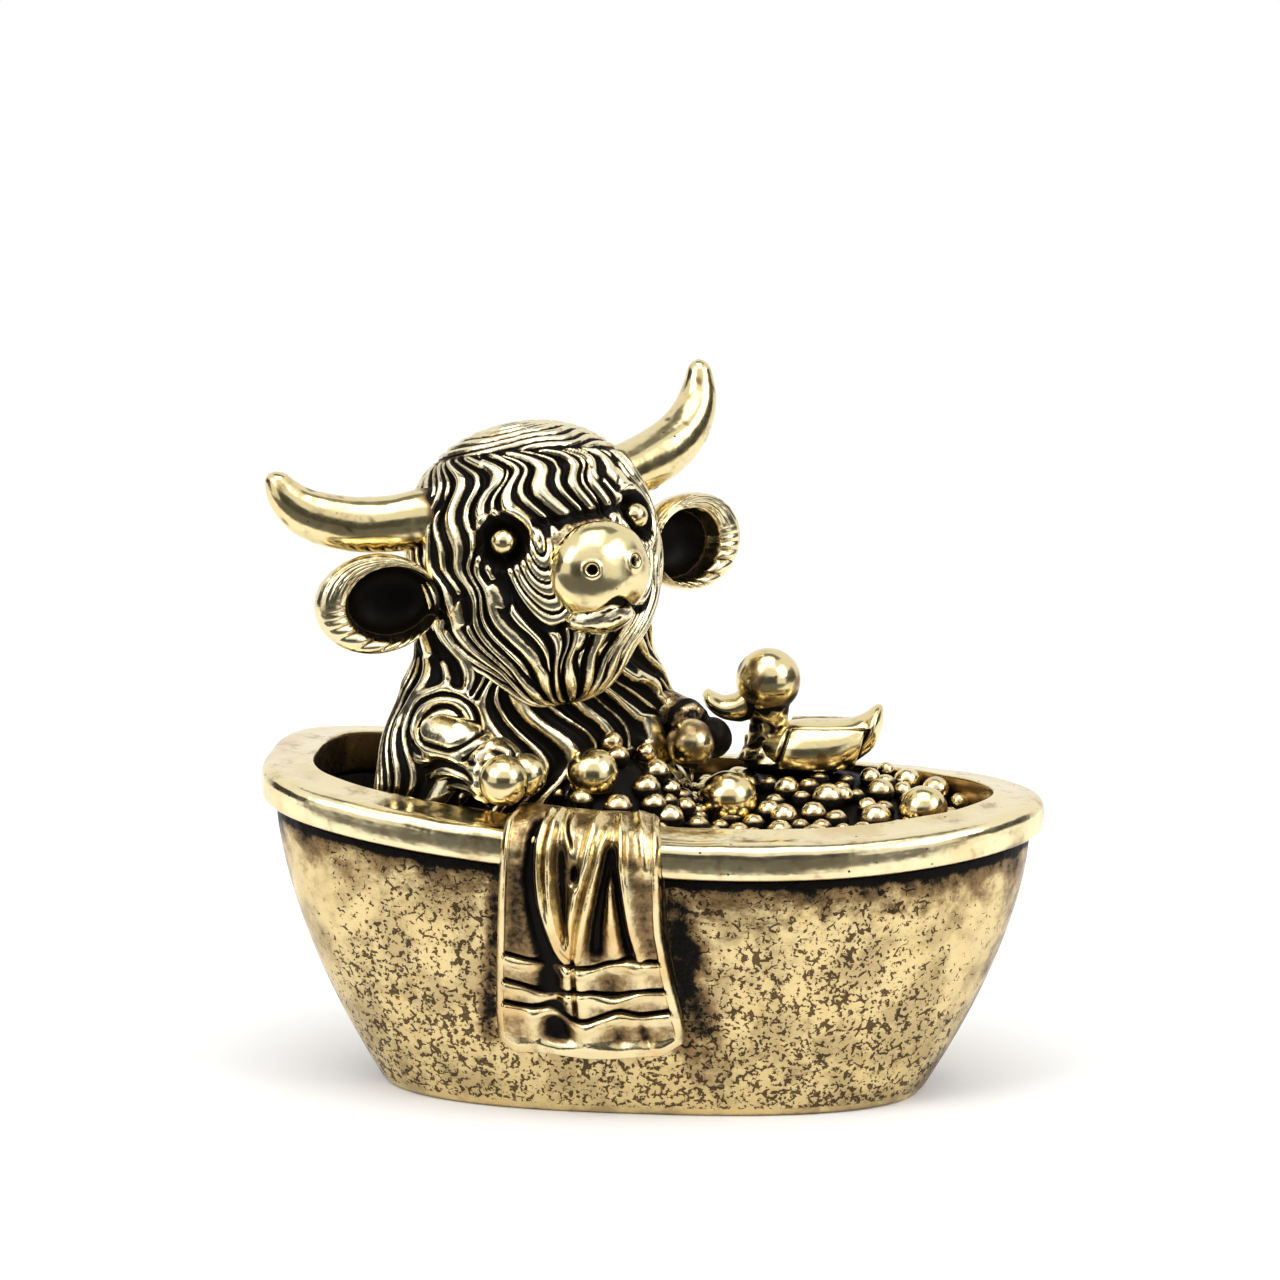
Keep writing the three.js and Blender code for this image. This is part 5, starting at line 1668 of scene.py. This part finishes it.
@dataclass
class Ears:
    """The two ears: thick cups whose hollow opens forwards."""

    place: Placement
    length: float = 6.0
    height: float = 4.8
    drop: float = 1.0
    turned: float = 15.0
    left_reach: float = 8.2
    right_reach: float = 8.7
    edge_notches: int = 24
    back_strands: int = 22

    def skin(self, side: float, reach: float) -> Skin:
        """A bowl, a rolled edge and a round back: rings whose size and depth follow one outline.

        Args:
            side: 1 for the cow's left, -1 for its right.
            reach: how far out the ear's middle lies.

        Returns:
            The skin, in the head's frame.
        """
        even, short = np.linspace(0.0, 1.0, 40), np.linspace(0.0, 1.0, 30)
        bowl = bezier((0.02, 0.9), (0.62, 0.9), (0.70, 0.1), (0.74, -0.95), share=even)
        roll = bezier((0.74, -0.95), (0.79, -1.55), (0.97, -1.45), (1.0, -0.5), share=short[1:])
        back = bezier((1.0, -0.5), (1.0, 1.2), (0.6, 1.65), (0.02, 1.65), share=even[1:])
        outline = np.concatenate([bowl, roll, back])
        size, depth = outline[:, :1], outline[:, 1:]
        angle = round_angles(220)[None, :]
        order = np.linspace(0.0, 1.0, len(outline))[:, None] + 0.0 * angle
        ahead = smooth(0.66, 0.58, order)
        low = smooth(0.35, -0.5, np.sin(angle)) * smooth(-0.9, -0.3, np.cos(angle))
        comb = ridge(self.edge_notches * angle / (2.0 * np.pi) + 0.6 * np.sin(3.0 * angle), 0.7)
        notch = (1.0 - comb) * mound(size - 0.79, 0.12) * ahead * low
        along = (1.0 - ridge(order * 30.0 + 0.3 * np.sin(4.0 * angle), 0.8)) * smooth(0.1, 0.7, np.sin(angle))
        along = along * smooth(0.34, 0.4, order) * ahead
        drawn_in = 0.72 * smooth(1.0, 0.72, size) * ahead
        x = side * (self.length / 2.0 * size * np.cos(angle) - drawn_in)
        z = self.height / 2.0 * size * np.sin(angle)
        y = depth + 0.0 * angle + 0.2 * notch + 0.12 * along
        inside = smooth(0.62, 0.76, size) + 0.0 * angle
        relief = mix(1.0 - 0.8 * notch - 0.7 * along, inside, smooth(0.38, 0.30, order))
        strands = ridge(self.back_strands * angle / (2.0 * np.pi) + 0.5 * np.sin(8.0 * size), 0.8)
        # Painted shade: the side of the ear that faces the head is left black.
        relief = relief * mix(1.0, smooth(-0.98, -0.75, np.cos(angle)), ahead)
        behind = smooth(0.66, 0.74, order)
        relief = mix(relief, strands, behind)
        rings = np.stack([x, y, z], axis=-1)
        rings -= ring_normals(rings) * (0.22 * behind * (1.0 - strands))[..., None]
        rings = rings @ turn("z", side * self.turned).T + np.array([side * reach, 0.0, -self.drop])
        return capped_skin(rings, np.clip(relief, 0.0, 1.0))

    def build(self, workshop: Workshop) -> None:
        """Makes both ears."""
        for name, side, reach in (("left", 1.0, self.left_reach), ("right", -1.0, self.right_reach)):
            workshop.piece(f"cow_ear_{name}", self.skin(side, reach).moved(self.place), EAR, f"ear_{name}")


@dataclass
class Trunk:
    """The chest and shoulders: a dome of long locks that runs up into the neck."""

    place: Placement
    width: float = 16.8
    depth: float = 10.2
    height: float = 8.8
    squareness: float = 2.7
    seat: float = 1.2
    neck_half_width: float = 6.15
    neck_half_depth: float = 4.3
    top: float = 10.5
    coat: Coat = Coat(
        20, sharpness=1.9, wave=5.2, sway=0.3, stretch=0.1, sweep=0.0, drift=0.2, drift_turns=6.0
    )
    shoulder: Place = (-6.0, -2.2, 5.2)

    def skin(self) -> Skin:
        """A superellipse dome over a straight seat, drawn up into an oval neck and carved with locks.

        The larger of the dome's and the neck's reach is taken softly, as the eighth root of the sum of
        their eighth powers.

        Returns:
            The skin, in the cow's frame.
        """
        rows, columns = 190, 520
        z = np.linspace(0.0, self.top, rows)[:, None]
        bearing = (np.arange(columns) / columns * 2.0 - 1.0)[None, :] * np.pi
        climb = np.arcsin(np.clip(z / self.height, 0.0, 1.0) ** (self.squareness / 2.0))
        dome = np.cos(climb) ** (2.0 / self.squareness)
        begin = smooth(3.5, 7.0, z)
        reach_x = ((dome * self.width / 2.0) ** 8 + (begin * self.neck_half_width) ** 8) ** 0.125
        reach_y = ((dome * self.depth / 2.0) ** 8 + (begin * self.neck_half_depth) ** 8) ** 0.125
        x, y = reach_x * np.sin(bearing), -reach_y * np.cos(bearing)
        body = np.stack([x, y, z + 0.0 * bearing], axis=-1)
        fall = np.broadcast_to((self.height - z) * 1.3, x.shape)
        flow = bearing - 0.035 * (1.2 + np.sin(bearing)) * (fall + 2.0)
        gap = np.linalg.norm(body - np.array(self.shoulder), axis=-1)
        aside = bearing - np.arctan2(self.shoulder[0], -self.shoulder[1])
        flow = flow - 0.75 * aside * mound(gap, 2.7)
        number = self.coat.number(flow, fall + 2.5)
        merging = 0.9 * smooth(0.3, 0.6, ripple(body, 3.4, 62))
        relief = self.coat.relief(number, merging)
        whorl = ridge((gap - 1.2) / 0.64 + 0.12 * ripple(body, 2.0, 63), 0.9)
        over_curl = smooth(2.6, 1.9, gap) * smooth(-0.9, 0.1, body[..., 2] - self.shoulder[2])
        relief = mix(relief, whorl, over_curl)
        rings = body - ring_normals(body) * self.coat.inset(number, relief)[..., None]
        # Painted shade, partly patina: darker in the middle of the chest under the head, and low down towards
        # the foam.
        shade = mound(x - 1.0, 3.6) * smooth(-0.2, -2.0, y) * (0.75 + 0.25 * ripple(body, 1.6, 64))
        relief = relief * (0.2 + 0.8 * smooth(-0.3, 1.2, z)) * (1.0 - 0.3 * shade)
        seat = body[:1].copy()
        seat[..., 2] = -self.seat
        rings = np.concatenate([seat, rings])
        return capped_skin(rings, np.concatenate([relief[:1], relief]))

    def build(self, workshop: Workshop) -> None:
        """Makes the trunk."""
        workshop.piece("cow_chest", self.skin().moved(self.place), COAT, "cow_trunk")


@dataclass(frozen=True)
class Reach:
    """Where a foreleg ends, in the cow's frame."""

    spread: float
    ahead: float
    lift: float


@dataclass
class Forelegs:
    """The forelegs, laid out over the foam, each with a cloven hoof."""

    place: Placement
    shoulder_spread: float = 5.4
    shoulder_lift: float = 4.1
    radius: float = 2.3
    wrist: float = 1.15
    hoof_length: float = 2.4
    hoof_height: float = 2.4
    toe_width: float = 2.3
    toe_spacing: float = 1.5
    toe_lag: float = 0.3
    locks: int = 11
    curl: Place = (6.0, -2.3, 5.3)
    lobe_radius: float = 1.1
    lobe_length: float = 1.0
    left: Reach = Reach(7.1, 3.4, 3.7)
    right: Reach = Reach(4.3, 5.9, 3.6)

    def leg_skin(self, side: float, reach: Reach) -> Skin:
        """A tapered tube on a curve, with a raised curl of hair on the shoulder and a tuft at the wrist.

        Args:
            side: 1 for the cow's left, -1 for its right.
            reach: where the leg ends.

        Returns:
            The skin, in the cow's frame.
        """
        steps, columns = 150, 260
        share = np.linspace(0.0, 1.0, steps)
        controls = [
            (side * self.shoulder_spread, 0.0, self.shoulder_lift),
            (side * max(self.shoulder_spread, reach.spread), -reach.ahead / 2.0, reach.lift),
            (side * reach.spread, -reach.ahead, reach.lift),
        ]
        middle = bezier(*controls, share=share)
        start_round = 1.0 - 0.5 * (1.0 - share) ** 12
        tuft = (0.3 - 0.15 * side) * mound(share - 0.88, 0.09)
        radius = (mix(self.radius, self.wrist, share) + tuft) * start_round
        angle = round_angles(columns)[None, :]
        ring = tube_rays(middle, columns, (0.0, 0.0, 1.0))
        rings = middle[:, None, :] + ring * radius[:, None, None]
        along = share[:, None] * reach.ahead * 1.15
        number = self.locks * angle / (2.0 * np.pi) + 0.35 * np.sin(2.0 * np.pi * along / 5.0 + angle)
        relief = ridge(number + 0.3 * ripple(rings, 3.0, 71), 1.2)
        curl = np.array(self.curl) * np.array([side, 1.0, 1.0])
        course = np.array([side * reach.spread, -reach.ahead, reach.lift + 1.0]) - curl
        course /= np.linalg.norm(course)
        forward = np.clip((rings - curl) @ course, 0.0, self.lobe_length)
        away = np.linalg.norm(rings - curl - forward[..., None] * course, axis=-1)
        whorl = ridge((away - self.lobe_radius) / 0.62, 0.9)
        lobe = smooth(self.lobe_radius, self.lobe_radius - 0.2, away)
        above = rings[..., 2] - curl[2]
        dent = mound(away - 0.45, 0.12) * smooth(0.1, 0.5, above)
        over = smooth(2.3, 1.8, away) * smooth(-1.6, -0.6, above)
        relief = mix(relief, mix(whorl, 1.0 - 0.8 * dent, lobe), np.maximum(over, lobe))
        cuff = mound(share - 0.9, 0.06)[:, None] * np.ones(columns)[None, :]
        relief = mix(relief, 0.75 + 0.22 * ripple(rings, 0.9, 73), 0.9 * cuff)
        # Painted shade: the far leg, on the cow's left, is darker.
        relief = np.clip(relief * (0.9 - 0.1 * side), 0.0, 1.0)
        out = 0.62 * mound(away, 1.15) - 0.34 * (1.0 - relief)
        return capped_skin(rings + ring * out[..., None], relief * (0.87 - 0.13 * side))

    def hoof_skin(self, side: float, reach: Reach) -> Skin:
        """Two egg-shaped toes, side by side, black where they meet, with painted shade low down, on the far
        hoof and on the rear toe.

        Args:
            side: 1 for the cow's left, -1 for its right.
            reach: where the leg ends.

        Returns:
            The skin, in the cow's frame.
        """
        toes = []
        for toe in (-1.0, 1.0):
            across = side * reach.spread + toe * self.toe_spacing / 2.0
            ahead = reach.ahead + self.hoof_length / 4.0 - self.toe_lag * toe
            centre = np.array([across, -ahead, reach.lift])
            radii = np.array([self.toe_width, self.hoof_length, self.hoof_height]) / (2.15 + 0.2 * toe)
            ball = ball_skin(centre, radii, 72, 0.02, 81)
            inner = smooth(-0.28, -0.42, toe * (ball.points[:, 0] - centre[0]) / self.toe_width)
            # Painted shade: black low down where the toes sit on the foam, and darker on the far hoof and the
            # rear toe.
            ball.relief = (1.0 - inner) * smooth(reach.lift - 1.25, reach.lift - 0.7, ball.points[:, 2])
            ball.relief *= (0.50 - 0.32 * side - 0.18 * toe) + 0.3 * ripple(ball.points, 1.2, 83)
            toes.append(ball)
        return join_skins(toes)

    def build(self, workshop: Workshop) -> None:
        """Makes both legs and both hooves.

        Args:
            workshop: makes and dresses the pieces.
        """
        for name, side, reach in (("left", 1.0, self.left), ("right", -1.0, self.right)):
            leg, hoof = self.leg_skin(side, reach), self.hoof_skin(side, reach)
            workshop.piece(f"cow_foreleg_{name}", leg.moved(self.place), COAT, f"foreleg_{name}")
            workshop.piece(f"cow_hoof_{name}", hoof.moved(self.place), BRIGHT, f"hoof_{name}")


# Duck.


@dataclass
class Duck:
    """The toy duck: hull with tail and wing panels, neck, head and bill."""

    place: Placement
    length: float = 6.9
    width: float = 4.0
    height: float = 2.3
    draught: float = 0.6
    tail_height: float = 3.85
    tail_thickness: float = 2.5
    tail_flare: float = 0.45
    head_radius: float = 1.6
    head_ahead: float = 2.25
    head_lift: float = 4.3
    neck: float = 1.2
    wing_relief: float = 0.28
    # The bill at places ahead of the head's middle: its upper and lower line, and half its width.
    bill_places: tuple[float, ...] = (0.7, 1.3, 1.75, 2.2, 2.6, 3.0, 3.25)
    bill_upper: tuple[float, ...] = (-0.30, -0.45, -0.72, -0.82, -0.66, -0.42, -0.46)
    bill_lower: tuple[float, ...] = (-1.90, -2.10, -2.05, -1.95, -1.75, -1.38, -1.08)
    bill_half: tuple[float, ...] = (0.85, 0.95, 1.00, 1.00, 0.98, 0.90, 0.75)

    def hull_skin(self) -> Skin:
        """Oval sections from the breast to the upturned tail, with a raised wing panel on each side.

        Returns:
            The skin, in the duck's frame.
        """
        share = np.linspace(0.005, 0.995, 150)[:, None]
        angle = round_angles(180)[None, :]
        round_off = np.sin(np.pi * share)
        back = self.height * np.sin(np.pi * mix(0.2, 0.86, share)) ** 0.8
        tip = np.clip((share - 0.9) / 0.1, 0.0, 0.99)
        blunt = 0.5 * self.tail_thickness * (1.0 - np.sqrt(1.0 - tip**2))
        top = mix(back, self.tail_height, share**5) - blunt
        keel = mix(-self.draught * round_off**0.5, self.tail_height - self.tail_thickness, share**4) + blunt
        tail = self.tail_flare * smooth(0.85, 0.95, share) * (1.0 - 2.0 * blunt / self.tail_thickness)
        half = self.width / 2.0 * round_off**0.6 + tail
        x = (share - 0.5) * self.length + 0.0 * angle
        y = half * np.cos(angle)
        z = mix(keel, top, 0.5 + np.sin(angle) / 2.0)
        rings = np.stack([x, y, z], axis=-1)
        slant = 0.35 * (z - 1.0)
        panel = np.maximum(np.abs(x - 0.35 - slant) / 1.85, np.abs(z - 1.15) / 0.88)
        side_on = smooth(0.35, 0.6, np.abs(np.cos(angle)) + 0.0 * share)
        wing = smooth(1.03, 0.90, panel) * side_on
        groove = mound(panel - 1.06, 0.05) * side_on
        rings += ring_normals(rings) * (self.wing_relief * wing - 0.12 * groove)[..., None]
        patina = 0.58 + 0.36 * ripple(rings, 1.5, 92)
        # Painted shade: the hull darkens towards its bottom.
        relief = (1.0 - 0.95 * groove) * smooth(0.0, 1.1, z + 0.6 * wing) * patina
        return capped_skin(rings, relief)

    def neck_skin(self) -> Skin:
        """A waisted, rough column from the breast to the head.

        Returns:
            The skin, in the duck's frame.
        """
        share = np.linspace(0.0, 1.0, 60)[:, None]
        angle = round_angles(90)[None, :]
        radius = self.neck * (0.78 + 0.5 * (2.0 * share - 1.0) ** 2)
        z = mix(0.4, self.head_lift - 0.4, share) + 0.0 * angle
        rings = np.stack([-self.head_ahead + radius * np.cos(angle), radius * np.sin(angle), z], axis=-1)
        rough = ripple(rings, 0.5, 91)
        outward = np.stack([np.cos(angle) + 0.0 * share, np.sin(angle) + 0.0 * share], axis=-1)
        rings[..., :2] += 0.06 * rough[..., None] * outward
        return capped_skin(rings, np.clip(0.3 + 0.6 * rough, 0.0, 1.0) * smooth(1.02, 0.8, share))

    def bill_skin(self) -> Skin:
        """A thick bill whose upper line dips and turns up at the tip: ellipses between two eased lines.

        Returns:
            The skin, in the duck's frame.
        """
        places = np.array(self.bill_places)
        ahead = np.linspace(places[0], places[-1], 110)[:, None]
        angle = round_angles(100)[None, :]
        lines = (self.bill_upper, self.bill_lower, self.bill_half)
        upper, lower, half = (eased(ahead, places, np.array(line), 0.3) for line in lines)
        tip = np.sqrt(np.clip(1.0 - np.clip((ahead - 2.85) / 0.4, 0.0, 1.0) ** 2, 0.02, 1.0))
        z = self.head_lift + (upper + lower) / 2.0 + (upper - lower) / 2.0 * tip * np.sin(angle)
        rings = np.stack([-self.head_ahead - ahead + 0.0 * angle, half * tip * np.cos(angle), z], axis=-1)
        lit = smooth(-0.95, 0.0, np.sin(angle)) * smooth(0.7, 1.5, ahead)
        return capped_skin(rings, (0.58 + 0.4 * ripple(rings, 1.0, 97)) * lit)

    def build(self, workshop: Workshop) -> None:
        """Makes the body with its neck, the head and the bill.

        Args:
            workshop: makes and dresses the pieces.
        """
        body = join_skins([self.hull_skin(), self.neck_skin()])
        centre = np.array([-self.head_ahead, 0.0, self.head_lift])
        head = ball_skin(centre, np.full(3, self.head_radius), 96, 0.012, 95)
        lit = smooth(-1.5, -0.3, head.points[:, 2] - self.head_lift)
        head.relief = (0.6 + 0.4 * ripple(head.points, 1.2, 96)) * lit
        workshop.piece("duck_hull", body.moved(self.place), BRIGHT, "duck_body")
        workshop.piece("duck_face", head.moved(self.place), BRIGHT, "duck_head")
        workshop.piece("duck_beak", self.bill_skin().moved(self.place), BRIGHT, "duck_bill")


# Studio.


OBJECT: Place = (0.0, 0.0, 14.0)


@dataclass
class Studio:
    """Floor, lamps, dark cards that metal reflects, world and camera."""

    eye: Place = (32.02, -290.07, 83.52)
    pitch: float = -11.92
    yaw: float = 6.434
    lens: float = 172.97
    floor_half: float = 1500.0

    def sheet(self, name: str, corners: list[Place]) -> bpy.types.Object:
        """A flat sheet over four corners.

        Args:
            name: its name.
            corners: its corners in order, in metres.

        Returns:
            The new object, linked to the scene.
        """
        mesh = bpy.data.meshes.new(name)
        mesh.from_pydata(corners, [], [(0, 1, 2, 3)])
        sheet = bpy.data.objects.new(name, mesh)
        bpy.context.scene.collection.objects.link(sheet)
        return sheet

    def floor(self) -> None:
        """A wide pale floor that keeps the object's shadow and fades out with the squared distance."""
        half = self.floor_half * MM
        signs = ((-1.0, -1.0), (1.0, -1.0), (1.0, 1.0), (-1.0, 1.0))
        floor = self.sheet("floor", [(half * x, half * y, 0.0) for x, y in signs])
        board = NodeBoard("floor_paper")
        board.shader.inputs["Base Color"].default_value = (0.86, 0.86, 0.86, 1.0)
        board.shader.inputs["Roughness"].default_value = 0.9
        board.shader.inputs["Specular IOR Level"].default_value = 0.0
        x, y = (board.math("POWER", board.axis(name), 2.0) for name in ("X", "Y"))
        board.link(board.step(board.math("ADD", x, y), 0.002, 0.10, 1.0, 0.0), board.shader.inputs["Alpha"])
        floor.data.materials.append(board.material)

    def card(
        self, name: str, centre: Place, size: tuple[float, float], level: float, aim: Place = OBJECT
    ) -> None:
        """A dark card that only reflections see.

        Args:
            name: the card's name.
            centre: its middle, in millimetres.
            size: its width and height, in millimetres.
            level: how bright it is, from 0.
            aim: the place that it faces, in millimetres.
        """
        middle = Vector(centre) * MM
        facing = (Vector(aim) * MM - middle).to_track_quat("Z", "Y").to_matrix()
        half_w, half_h = size[0] * MM / 2.0, size[1] * MM / 2.0
        corners = [(-half_w, -half_h), (half_w, -half_h), (half_w, half_h), (-half_w, half_h)]
        card = self.sheet(name, [tuple(middle + facing @ Vector((x, y, 0.0))) for x, y in corners])
        material = bpy.data.materials.new(name)
        material.use_nodes = True
        nodes = material.node_tree.nodes
        glow = nodes.new("ShaderNodeEmission")
        glow.inputs["Color"].default_value = (level, level, level, 1.0)
        material.node_tree.links.new(glow.outputs[0], nodes["Material Output"].inputs["Surface"])
        card.data.materials.append(material)
        card.visible_camera = False
        card.visible_diffuse = False
        card.visible_shadow = False

    def lamp(self, name: str, place: Place, size: float, watts: float) -> None:
        """A soft square lamp that faces the object.

        Args:
            name: the lamp's name.
            place: where it stands, in millimetres.
            size: its side, in millimetres.
            watts: its power.
        """
        data = bpy.data.lights.new(name, "AREA")
        data.size = size * MM
        data.energy = watts
        lamp = bpy.data.objects.new(name, data)
        lamp.location = Vector(place) * MM
        lamp.rotation_euler = (Vector(OBJECT) * MM - lamp.location).to_track_quat("-Z", "Y").to_euler()
        bpy.context.scene.collection.objects.link(lamp)

    def world(self) -> None:
        """White all round for the camera and for reflections, and a little less for diffuse light."""
        world = bpy.data.worlds.new("studio")
        bpy.context.scene.world = world
        world.use_nodes = True
        nodes, links = world.node_tree.nodes, world.node_tree.links
        background = nodes["Background"]
        background.inputs["Color"].default_value = (1.0, 1.0, 1.0, 1.0)
        rays = nodes.new("ShaderNodeLightPath")
        seen = nodes.new("ShaderNodeMath")
        seen.operation = "MAXIMUM"
        links.new(rays.outputs["Is Camera Ray"], seen.inputs[0])
        links.new(rays.outputs["Is Glossy Ray"], seen.inputs[1])
        both = nodes.new("ShaderNodeMath")
        both.operation = "MAXIMUM"
        links.new(seen.outputs[0], both.inputs[0])
        links.new(rays.outputs["Is Transmission Ray"], both.inputs[1])
        level = nodes.new("ShaderNodeMapRange")
        links.new(both.outputs[0], level.inputs["Value"])
        level.inputs["To Min"].default_value = 0.85
        level.inputs["To Max"].default_value = 1.0
        links.new(level.outputs["Result"], background.inputs["Strength"])

    def camera(self) -> None:
        """The camera at the photograph's viewing angle."""
        data = bpy.data.cameras.new("camera")
        data.sensor_width = 36.0
        data.lens = self.lens
        data.clip_start = 0.01
        data.clip_end = 10.0
        camera = bpy.data.objects.new("camera", data)
        pitch, yaw = np.radians(self.pitch), np.radians(self.yaw)
        sight = Vector((-np.sin(yaw) * np.cos(pitch), np.cos(yaw) * np.cos(pitch), np.sin(pitch)))
        camera.location = Vector(self.eye) * MM
        camera.rotation_euler = sight.to_track_quat("-Z", "Y").to_euler()
        bpy.context.scene.collection.objects.link(camera)
        bpy.context.scene.camera = camera

    def build(self) -> None:
        """Sets the stage."""
        self.camera()
        self.world()
        self.floor()
        self.lamp("key_lamp", (-260.0, -240.0, 330.0), 260.0, 0.9)
        self.lamp("fill_lamp", (330.0, -120.0, 260.0), 260.0, 0.7)
        self.lamp("top_lamp", (10.0, -70.0, 400.0), 280.0, 0.5)
        self.card("card_front", (30.0, -420.0, 90.0), (520.0, 260.0), 0.07)
        self.card("card_floor", (20.0, -145.0, 1.5), (420.0, 220.0), 0.16, aim=(20.0, -145.0, 90.0))
        self.card("card_left", (-420.0, 20.0, 110.0), (420.0, 240.0), 0.05)
        self.card("card_right", (420.0, 60.0, 100.0), (420.0, 240.0), 0.06)
        self.card("card_over", (20.0, 150.0, 420.0), (420.0, 160.0), 0.20)


def main() -> None:
    """Builds the studio and every sub-assembly in order."""
    logging.basicConfig(level=logging.INFO, format="%(name)s %(message)s")
    bpy.context.scene.view_settings.view_transform = "Standard"
    Studio().build()
    workshop = Workshop()
    cow = ORNAMENT.then(turn("z", 34.0), (-5.9, 0.1, 13.1))
    head = cow.then(turn("x", -4.0) @ turn("y", -5.0), (0.0, 0.0, 13.1))
    duck = ORNAMENT.then(turn("z", 4.0), (7.45, 4.1, 14.9))
    tub = Tub()
    cow_parts = [Trunk(cow), Forelegs(cow), Head(head), Muzzle(head), Horns(head), Ears(head)]
    sub_assemblies = [tub, Towel(tub), Foam(tub), *cow_parts, Duck(duck)]
    for sub_assembly in sub_assemblies:
        LOG.info("building %s", type(sub_assembly).__name__)
        sub_assembly.build(workshop)


if __name__ == "__main__":
    main()
